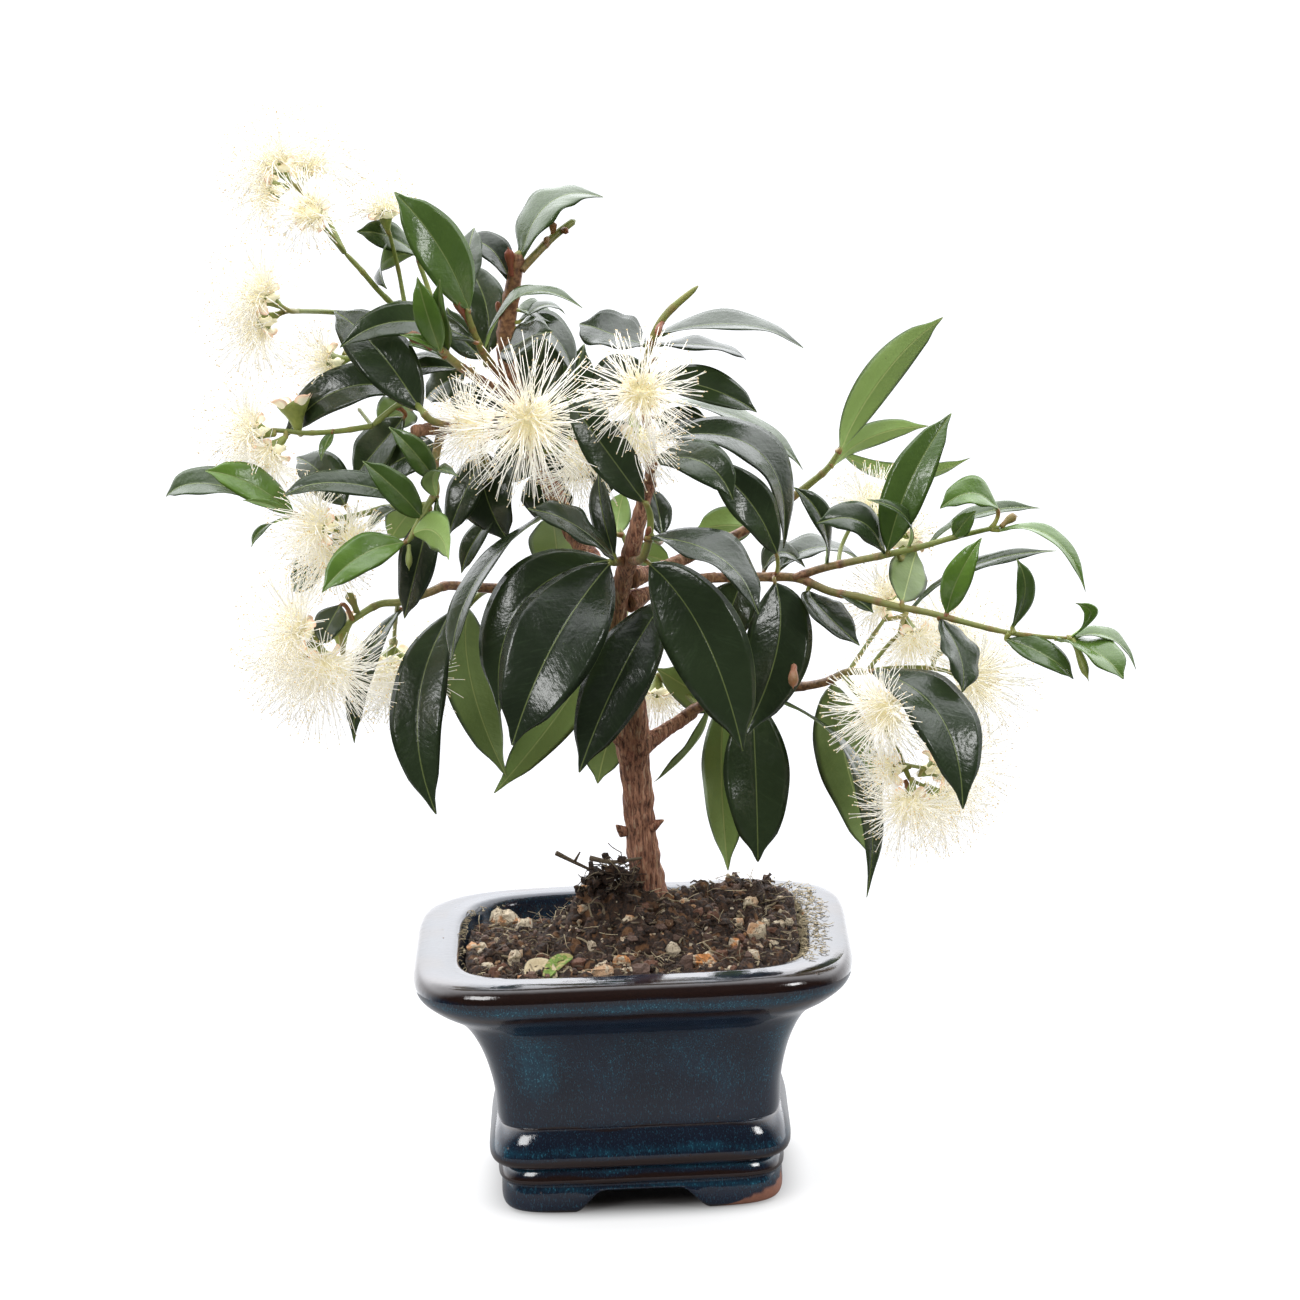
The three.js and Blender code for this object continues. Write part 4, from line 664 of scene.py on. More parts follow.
def make_pot():
    """Rounded squares of the profile's half-widths at its heights, dented by 0.16 percent."""
    outside = np.vstack([smooth_curve(FOOT, 4)[:-1], *(ring_arc(*row)[:-1] for row in RINGS),
                         smooth_curve(NECK, 6)[:-1]])
    inside = smooth_curve(INSIDE, 5)
    profile = np.vstack([outside, inside, UNDERSIDE])
    height, half = profile[:, 0], profile[:, 1]
    order = np.arange(len(profile))
    below = order >= len(outside) + len(inside)
    power = np.where(below, 2 + (BODY_POWER - 2) * eased(half, 8, 24), squareness(height))
    flat = rounded_square(half[:, None], round_angles(POT_AROUND), power[:, None])
    rings = np.concatenate([flat, np.broadcast_to(height[:, None, None], flat.shape[:2] + (1,))], -1)
    dent = 1 + 0.0016 * ripple(rings, 60, 3) * (half > 20)[:, None]
    rings[..., :2] *= dent[..., None]
    wave = ripple(rings * [1, 1, 0.1], 26, 5)
    level = height[:, None] + wave * 0.7
    outer = (order < len(outside))[:, None]
    neck = (0.58 + 0.32 * ripple(rings * [1, 1, 0.35], 24, 6)) * eased(level, 26, 40)
    milk = (banded(level, MILK_AND_HIGHLIGHT_BANDS) + neck * (1 - 0.5 * eased(level, 50, 60))) * outer
    milk = milk + 0.6 * (1 - outer) * eased(level, 40, 60) * (1 - eased(level, 68, 70.5))
    corner = rings[..., 0] + rings[..., 1] + CHIP_CORNER
    slip = 0.5 + 0.2 * corner + 0.7 * wave - rings[..., 2]
    chipped = eased(slip, -0.2, 0.2) * eased(corner, -1, 1) * (1 - eased(corner, 30, CHIP_WIDE))
    chipped *= (rings[..., 0] > 10) * outer
    bare = np.maximum((below & (height < 7))[:, None] * 1.0, chipped)
    piece = Piece("glazed_pot")
    piece.add(arched(rings)[None], looped=True, thin=banded(level, THIN_BANDS) * outer, milk=milk, bare=bare)
    piece.make(glaze_paint, ["pot"], "glaze")
    print("pot:", piece.triangles, "triangles")


make_pot()

# %% [markdown]
# ## Soil
#
# The mix is heaped round the trunk and sinks toward the lip. Its surface is crumbs of three sizes
# pressed together. Thousands of separate crumbs would be heavy, so it is one surface, computed as
# a bed of round stones, one in each cell of a grid. Only the larger lumps, which cast a shadow of
# their own, lie on it as separate skins.

# %% Soil surface: place, rise and spread of each mound
SOIL_LEVEL = 67.5
MOUNDS = [(4, 4, 13.5, 26, 24), (-10, 6, 6.5, 9, 9), (31, 22, 8, 15, 15), (-38, -12, 2, 14, 20),
          (-24, 38, -9, 12, 9)]


def soil_height(x, y):
    """The level plus rise exp(-(dx/across)^2 - (dy/deep)^2) of each mound."""
    return SOIL_LEVEL + sum(rise * np.exp(-((x - mx) / wide) ** 2 - ((y - my) / deep) ** 2)
                            for mx, my, rise, wide, deep in MOUNDS)


def drawn(i, j, seed):
    """A repeatable draw from 0 to 1 for a cell: the fraction of a large multiple of a sine."""
    return np.modf(np.abs(np.sin(i * 127.1 + j * 311.7 + seed * 74.7) * 43758.5453))[0]


def stone_bed(x, y, cell, seed):
    """The highest dome sqrt(r^2 - d^2) at a place, of one stone in each cell at a drawn middle."""
    i, j = np.floor(x / cell), np.floor(y / cell)
    best = np.zeros_like(x)
    for di in (-1, 0, 1):
        for dj in (-1, 0, 1):
            mx = (i + di + 0.15 + 0.7 * drawn(i + di, j + dj, seed)) * cell
            my = (j + dj + 0.15 + 0.7 * drawn(i + di, j + dj, seed + 1)) * cell
            r = cell * (0.34 + 0.4 * drawn(i + di, j + dj, seed + 2))
            best = np.maximum(best, np.sqrt(np.maximum(r * r - (x - mx) ** 2 - (y - my) ** 2, 0)))
    return best


def soil_top(x, y):
    """The mound with its bed of crumbs, banked up against the lip at the right and the front."""
    places = np.stack([x, y, np.zeros_like(x)], -1)
    crumbs = 0.6 * stone_bed(x, y, 4.6, 1) + 0.75 * stone_bed(x, y, 2.3, 5) + 0.4 * stone_bed(x, y, 1.3, 9)
    places[..., 2] = 3.0
    bank = 3.2 * eased(x, 14, 44) + 2.0 * eased(-y, 22, 44) - 1.2 * eased(-x, 30, 46) * eased(y, -10, 30)
    return soil_height(x, y) + crumbs + 0.9 * ripple(places, 7, 11) + np.minimum(bank, 3.4) - 2.2


def on_soil(seen):
    """Where the line of sight through a place on the view meets the mound, by four tries at its height."""
    seen = np.atleast_2d(np.asarray(seen, float))
    ray = unit(seen_at(seen, np.zeros(len(seen))) - EYE)
    height = np.full(len(seen), SOIL_LEVEL)
    for _ in range(4):
        place = EYE + ray * ((height - EYE[2]) / ray[:, 2])[:, None]
        height = soil_height(place[:, 0], place[:, 1])
    return place


def hollow_half(height):
    """Half-width of the pot's inside, read along its profile."""
    return np.interp(height, [12, 38, 58, 66, 70.9], [34.6, 36.6, 45, 48, 49.6])


# %% Loose lumps and threads
def lumps(middles, radii, seed, around=6, along=4):
    """Rough stones: each a ball squared off by s|s|^-0.25, stretched by drawn amounts and dented."""
    draw = np.random.default_rng(seed)
    count = len(middles)
    polar = np.pi * (np.arange(along) + 0.5) / along
    angle = round_angles(around)
    ball = np.stack([np.sin(polar)[:, None] * np.cos(angle), np.sin(polar)[:, None] * np.sin(angle),
                     -np.cos(polar)[:, None] * np.ones(around)], -1)
    ball = np.sign(ball) * np.abs(ball) ** 0.75
    dents = draw.uniform(0.7, 1.2, (count, along, around, 1))
    stretch = draw.uniform(0.6, 1.3, (count, 1, 1, 3)) * [1, 1, 0.8]
    spin = draw.uniform(0, 2 * np.pi, (count, 1, 1))
    shape = ball * dents * stretch * np.reshape(radii, (-1, 1, 1, 1))
    turned = np.stack([shape[..., 0] * np.cos(spin) - shape[..., 1] * np.sin(spin),
                       shape[..., 0] * np.sin(spin) + shape[..., 1] * np.cos(spin), shape[..., 2]], -1)
    return middles[:, None, None] + turned


def threads(starts, headings, lengths, radius, seed, around=3, rise=0.0):
    """Thin tubes that wander from a start: heading s + bends sin(pi s) across it and upward."""
    draw = np.random.default_rng(seed)
    s = np.linspace(0, 1, 4)[None, :, None]
    across = square_to(np.broadcast_to(UP, headings.shape), headings)
    third = np.cross(headings, across)
    sway = draw.normal(0, 0.16, (len(starts), 1, 2)) * lengths[:, None, None]
    path = (starts[:, None] + headings[:, None] * s * lengths[:, None, None]
            + across[:, None] * (sway[..., :1] + rise) * np.sin(np.pi * s)
            + third[:, None] * sway[..., 1:] * np.sin(1.5 * np.pi * s))
    return path[:, :, None] + spokes(third[:, None], -across[:, None], around) * radius


def scattered(count, seed, spread=46.0):
    """Drawn places on the soil, inside the lip: |x|^4.6 + |y|^4.6 stays below spread^4.6."""
    draw = np.random.default_rng(seed)
    spots = draw.uniform(-spread, spread, (count * 3, 2))
    spots = spots[(np.abs(spots) ** 4.6).sum(1) < (spread - 0.5) ** 4.6][:count]
    return np.column_stack([spots, soil_top(spots[:, 0], spots[:, 1])])


def on_lip(count, seed, low, high, wide=7.0):
    """Drawn places on the flat of the lip, densest midway between two bearings and at its inner edge."""
    draw = np.random.default_rng(seed)
    bearing = np.radians(low + (high - low) * (draw.random(count) + draw.random(count)) / 2)
    half = 47.5 + wide * draw.random(count) ** 3
    flat = rounded_square(half, bearing, np.full(count, RIM_POWER))
    return np.column_stack([flat, np.interp(half, [47, 49.6, 53, 57], [69.0, 70.9, 71.8, 71.6])])


# %% Soil mix: count, seed, least and largest radius, kind
PEAT, PUMICE, GRIT, FIBRE, GREEN = 0.0, 1.0, 2.0, 3.0, 4.0
SCATTER = [(900, 31, 0.4, 1.9, PEAT), (44, 32, 1.2, 2.6, PUMICE), (260, 35, 0.35, 1.1, PUMICE),
           (110, 33, 0.9, 2.4, GRIT), (260, 36, 0.35, 1.1, GRIT)]
# The stones that stand out in the view: column, row, radius, kind
STONES = [
    (504, 925, 3.4, PUMICE), (525, 931, 2.5, PUMICE), (594, 931, 2.6, PUMICE), (600, 943, 2.8, PUMICE),
    (757, 944, 3.7, PUMICE), (703, 934, 2.8, PUMICE), (706, 946, 2.4, PUMICE), (777, 935, 2.6, PUMICE),
    (702, 962, 3.1, PUMICE), (722, 961, 2.0, GRIT), (483, 948, 2.5, PUMICE), (488, 966, 1.8, PUMICE),
    (515, 959, 2.7, PUMICE), (640, 946, 2.0, GRIT), (650, 959, 1.9, GRIT), (556, 920, 1.9, PUMICE),
    (620, 917, 1.8, PUMICE), (687, 929, 2.0, GRIT), (764, 917, 2.0, PUMICE), (500, 973, 2.2, GRIT),
    (578, 968, 2.0, GRIT), (628, 958, 1.8, PUMICE), (738, 952, 1.9, GRIT), (676, 912, 1.8, GRIT),
    (543, 926, 2.2, GRIT)]
SOIL_AROUND = 300


def make_soil():
    """The bed's surface over the inside of the pot, whose walls it meets at four heights, with lumps."""
    share = np.concatenate([np.linspace(1, 0.97, 4)[:-1], np.linspace(0.97, 0.006, 92)])
    angle = round_angles(SOIL_AROUND)
    flat = rounded_square(47.1 * share[:, None], angle, np.full((1, 1), 4.7))
    x, y = flat[..., 0], flat[..., 1]
    top = np.stack([x, y, soil_top(x, y)], -1)
    walls = []
    for height in (12.4, 38.0, 58.0, 63.5):
        wall = rounded_square(np.full((1, 1), hollow_half(height) - 0.45), angle, squareness(height))
        walls.append(np.concatenate([wall, np.full((1, SOIL_AROUND, 1), height)], -1))
    rings = np.concatenate([*walls, top])
    piece = Piece("soil_mix")
    piece.add(rings[None], kind=PEAT, shade=np.clip(0.5 + 0.5 * ripple(rings, 5, 21), 0, 1))
    for count, seed, low, high, kind in SCATTER:
        spots = scattered(count, seed)
        radii = low + (high - low) * soil_draw.random(len(spots)) ** 2.0
        radii *= np.where(spots[:, 1] > 18, 0.62, 1)
        spots[:, 2] += radii * 0.1
        shade = soil_draw.random((len(spots), 1, 1))
        piece.add(lumps(spots, radii, seed, 6, 3), facets=True, kind=kind, shade=shade)
    stones = np.array(STONES)
    spots = np.clip(on_soil(stones[:, :2]), -43.5, 90) * [1, 1, 0]
    spots[:, 2] = soil_top(spots[:, 0], spots[:, 1]) + 0.4
    piece.add(lumps(spots, stones[:, 2] * 1.1, 77, 7, 5), facets=True, kind=stones[:, 3, None, None],
              shade=soil_draw.random((len(stones), 1, 1)))
    piece.make(soil_paint, ["soil"], "soil")
    print("soil:", piece.triangles, "triangles")


soil_draw = np.random.default_rng(8)
make_soil()

# %% [markdown]
# ## Scraps on the soil
#
# Dust and fibres have washed over the lip at one side, chips of bark lie all over, a heap of bark
# with twigs in it leans on the trunk, and two fallen leaves lie at the front. They are loose, so
# they are a piece of their own. Fibres are drawn by a rule, and only what catches the eye is placed.

# %% Scraps: what lies on the lip, the soil and the heap
LIP_DUST = [(420, -46, 70), (8, 150, 215)]
SOIL_FIBRES, RIGHT_FIBRES, LEFT_FIBRES, CHIPS = 520, 620, 60, 420
HEAP = [(600, 872), (612, 874), (622, 872), (630, 877), (606, 882), (590, 884), (619, 885), (628, 886),
        (598, 890), (584, 891)]
HEAP_LUMPS, HEAP_STICKS = 110, 130
TWIG_SCRAPS = [([(556, 853, -4), (572, 861, -3), (597, 873, -2)], 0.75),
               ([(590, 858, -3), (612, 862, -5), (642, 858, -6)], 0.8),
               ([(575, 861, -3), (580, 852, -4)], 0.45)]
LEAF_SCRAPS = [(545, 984), (560, 971), (573, 962), (527, 984), (539, 972), (556, 982)]


def drawn_ways(count, level, spread):
    """Directions drawn round about, whose climb is drawn round a level."""
    return np.column_stack([soil_draw.normal(size=(count, 2)), soil_draw.normal(level, spread, count)])


def add_dust(piece):
    """Grains on two arcs of the lip, with radii 0.12 + 0.45 r^3 for drawn r: many small, few large."""
    for count, low, high in LIP_DUST:
        spots = on_lip(count, 60 + low, low, high)
        radii = 0.12 + 0.45 * soil_draw.random(count) ** 3
        kind = soil_draw.choice([PUMICE, FIBRE, FIBRE, FIBRE], (count, 1, 1))
        shade = 0.7 + 0.3 * soil_draw.random((count, 1, 1))
        piece.add(lumps(spots, radii, 61, 4, 2), facets=True, kind=kind, shade=shade)


def add_fibres(piece):
    """Fibres lie any way on the soil. On the lip they are half as long, pale and point outward."""
    spots = np.vstack([scattered(SOIL_FIBRES, 41), on_lip(RIGHT_FIBRES, 62, -46, 70),
                       on_lip(LEFT_FIBRES, 63, 120, 215, 0.8)])
    heading = drawn_ways(len(spots), 0.1, 0.25)
    lip = np.arange(len(spots)) >= SOIL_FIBRES
    heading[lip] = unit(spots[lip] * [1, 1, 0]) + heading[lip] * [0.45, 0.45, 0.1]
    length = soil_draw.uniform(1.5, 7, len(spots)) * np.where(lip, 0.5, 1)
    shade = np.where(lip, 0.95, soil_draw.random(len(spots)))[:, None, None]
    fibres = threads(spots + [0, 0, 0.3], unit(heading), length, 0.11, 42, rise=0.2)
    piece.add(fibres, kind=FIBRE, shade=shade)
    spots = scattered(CHIPS, 43)
    heading = unit(drawn_ways(CHIPS, 0, 0.25))
    chips = threads(spots + [0, 0, 0.5], heading, soil_draw.uniform(1.5, 5, CHIPS), 0.32, 44, around=4)
    piece.add(chips, facets=True, kind=FIBRE, shade=0.55 * soil_draw.random((CHIPS, 1, 1)) ** 2)


def add_heap(piece):
    """Lumps and sticks drawn about ten seats, with three twigs laid over them."""
    seats = seen_at(HEAP, np.linspace(-4, -1, len(HEAP)))
    clump = seats[soil_draw.integers(0, len(HEAP), HEAP_LUMPS)] + soil_draw.normal(0, 1.3, (HEAP_LUMPS, 3))
    bark = lumps(clump, soil_draw.uniform(0.5, 1.7, HEAP_LUMPS), 51, 6, 4)
    piece.add(bark, facets=True, kind=PEAT, shade=soil_draw.random((HEAP_LUMPS, 1, 1)) * 0.8)
    starts = seats[soil_draw.integers(0, len(HEAP), HEAP_STICKS)] + [0, 0, 0.6]
    starts = starts + soil_draw.normal(0, 1.5, (HEAP_STICKS, 3))
    ways = unit(soil_draw.normal(size=(HEAP_STICKS, 3)) * [1, 1, 0.45] + [0, 0, 0.12])
    sticks = threads(starts, ways, soil_draw.uniform(2, 6, HEAP_STICKS), 0.17, 52)
    piece.add(sticks, kind=FIBRE, shade=0.4 * soil_draw.random((HEAP_STICKS, 1, 1)))
    for route, radius in TWIG_SCRAPS:
        route = np.array(route, float)
        path = smooth_curve(seen_at(route[:, :2], route[:, 2]), 8)
        piece.add(tube(path, np.linspace(radius, radius * 0.5, len(path)), 7)[None], kind=FIBRE, shade=0.12)


def laid_blade(piece, start, over, end, wide, upper, kind, shade):
    """A fallen leaf: a folded lens of half-width w sqrt(sin(pi t)) / 2 across a bent spine."""
    spine, ways = bent(start, 2 * over - 0.5 * (start + end), end, np.linspace(0, 1, 16))
    tops = turned_with(square_to(upper, ways[8]), ways[8], ways)
    half = wide / 2 * np.sqrt(np.clip(np.sin(np.pi * np.linspace(0.02, 0.98, 16)), 0.01, 1))
    rise = half[:, None] * 0.35 * np.abs(BLADE_U)
    rings, _, _ = blade_rings(spine, ways, tops, half, np.full(16, 0.2), rise)
    piece.add(rings[None], kind=kind, shade=shade)


def make_scraps():
    """Dust, fibres and heap, a green leaf at the front and a tan one that is curled up."""
    piece = Piece("soil_scraps")
    add_dust(piece)
    add_fibres(piece)
    add_heap(piece)
    at = on_soil(LEAF_SCRAPS) + [0, 0, 1.2]
    leaning = unit(UP * 0.7 - ACROSS * 0.3 + TO_VIEWER)
    laid_blade(piece, at[0], at[1] + UP * 1.2, at[2], 5.2, leaning, GREEN, 0.5)
    laid_blade(piece, at[3], at[4] + UP * 0.8, at[5], 5.0, unit(UP + TO_VIEWER * 0.4), FIBRE, 0.8)
    piece.make(soil_paint, slot="soil")
    print("scraps on the soil:", piece.triangles, "triangles")


make_scraps()

# %% [markdown]
# ## Trunk and branches
#
# The trunk rises from a flare in the soil, swells to a collar where a low branch leaves it, and
# splits. Each branch is a round tube whose radius is read along its route and then disturbed:
# upright ribs, shallow flaking plates, a swelling where it leaves its parent. A Skin modifier
# would join the branches more smoothly, but it gives no say over the ribs and the plates.

# %% Wood rows: column, row, depth and radius of the places each branch passes
WOOD = {
    "trunk": [(652, 945, 7, 4.2), (650, 905, 6, 6.2), (648, 884, 6, 5.3), (641, 840, 5, 4.7),
        (636, 785, 4, 4.5), (632, 745, 3, 4.9), (632, 700, 1, 4.1), (617, 640, -1, 3.9),
        (619, 595, -3, 3.0), (630, 556, -6, 2.7), (640, 515, -9, 2.3), (650, 483, -11, 1.9)],
    "left_leader": [(612, 612, -1, 3.2), (593, 562, 5, 2.9), (572, 530, 9, 2.7), (548, 480, 12, 2.6),
        (522, 415, 12, 2.5), (508, 360, 10, 2.6), (506, 348, 9, 2.6)],
    "left_low": [(612, 602, -1, 2.4), (580, 590, 4, 1.8), (540, 588, 7, 1.6), (497, 589, 6, 1.5)],
    "left_stub": [(526, 436, 12, 1.9), (480, 430, 3, 1.8), (445, 427, -4, 1.8), (416, 431, -12, 1.7)],
    "right": [(628, 602, -2, 2.4), (655, 591, 2, 1.8), (685, 582, 5, 1.6), (716, 577, 6, 1.5)],
    "right_upper": [(630, 578, -3, 2.4), (664, 567, 4, 2), (690, 556, 8, 1.8), (714, 543, 10, 1.6)],
    "right_low": [(634, 748, 2, 2.6), (652, 739, 3, 2.2), (672, 726, 4, 1.9), (694, 711, 5, 1.8)],
    "left_knob": [(624, 832, 4, 1.6), (616, 825, 2, 1.1)],
    "right_knob": [(652, 826, 4, 1.6), (664, 820, 3, 1.1)],
    "middle_knob": [(622, 742, 2, 2.2), (611, 738, 0, 1.3)],
}

# %% Wood skins: heading in degrees, spread and drop of each root
ROOTS = [(20, 24, 26), (110, 22, 30), (200, 24, 27), (290, 22, 30)]
ROOT_CROWN, COLLAR_HEIGHT = (650, 905, 6), 131


def wood_radius(name, path, radius, run):
    """The trunk's radius gets a flare 1.6 exp(-(run/9)^2) and a collar, a branch's a swollen start."""
    if name == "trunk":
        collar = 0.5 * np.exp(-(((path[:, 2] - COLLAR_HEIGHT) / 3.5) ** 2))
        return radius * 0.92 + 1.6 * np.exp(-((run / 9.0) ** 2)) + collar
    radius = radius * (1 + 0.35 * np.exp(-((run - radius[0]) / 3.2) ** 2))
    if len(WOOD[name]) > 2:
        return radius
    share = run / run[-1]
    return radius * (0.85 - 0.5 * share) * np.sqrt(np.clip(1.04 - share ** 6, 0.05, 1))


def make_wood():
    """Tubes whose radius is multiplied by 1 + ribs 0.05 sin 3a + 0.03 sin 5a + plates."""
    piece = Piece("bark_wood")
    for order, (name, route) in enumerate(WOOD.items()):
        route = np.array(route, float)
        path = smooth_curve(seen_at(route[:, :2], drawn_out(route[:, 2])), 18)
        share = np.linspace(0, len(route) - 1, len(path))
        radius = np.interp(share, np.arange(len(route)), route[:, 3])
        radius = np.convolve(np.pad(radius, 6, mode="edge"), np.ones(13) / 13, "valid")
        run = run_along(path)
        radius = wood_radius(name, path, radius, run)
        around = 60 if name == "trunk" else 28
        angle = round_angles(around)
        rings = tube(path, radius, around)
        outward = unit(rings - path[:, None])
        along = run[:, None]
        ribs = 0.05 * np.sin(3 * angle + along * 0.05 + order) + 0.03 * np.sin(5 * angle - along * 0.09)
        plates = ripple(rings * [1, 1, 0.25], 2.0, 60 + order, 40) * 0.055
        plates = plates + ripple(rings, 8, 80 + order) * 0.05
        rings = path[:, None] + outward * (radius[:, None] * (1 + ribs + plates))[..., None]
        young = float(name.startswith(("left_low", "right", "left_stub")))
        piece.add(rings[None], young=young * eased(run, 4, 30)[:, None])
    crown = seen_at(ROOT_CROWN[:2], drawn_out(ROOT_CROWN[2]))
    for heading, spread, drop in ROOTS:
        outward = np.array([math.cos(math.radians(heading)), math.sin(math.radians(heading)), 0])
        bend = crown + outward * spread * 0.5 - UP * drop * 0.3
        path = bent(crown, bend, crown + outward * spread - UP * drop, np.linspace(0, 1, 16))[0]
        piece.add(tube(path, np.linspace(3.9, 0.9, 16), 16)[None], young=0.0)
    piece.make(bark_paint, ["trunk"], "bark")
    print("wood:", piece.triangles, "triangles")


make_wood()
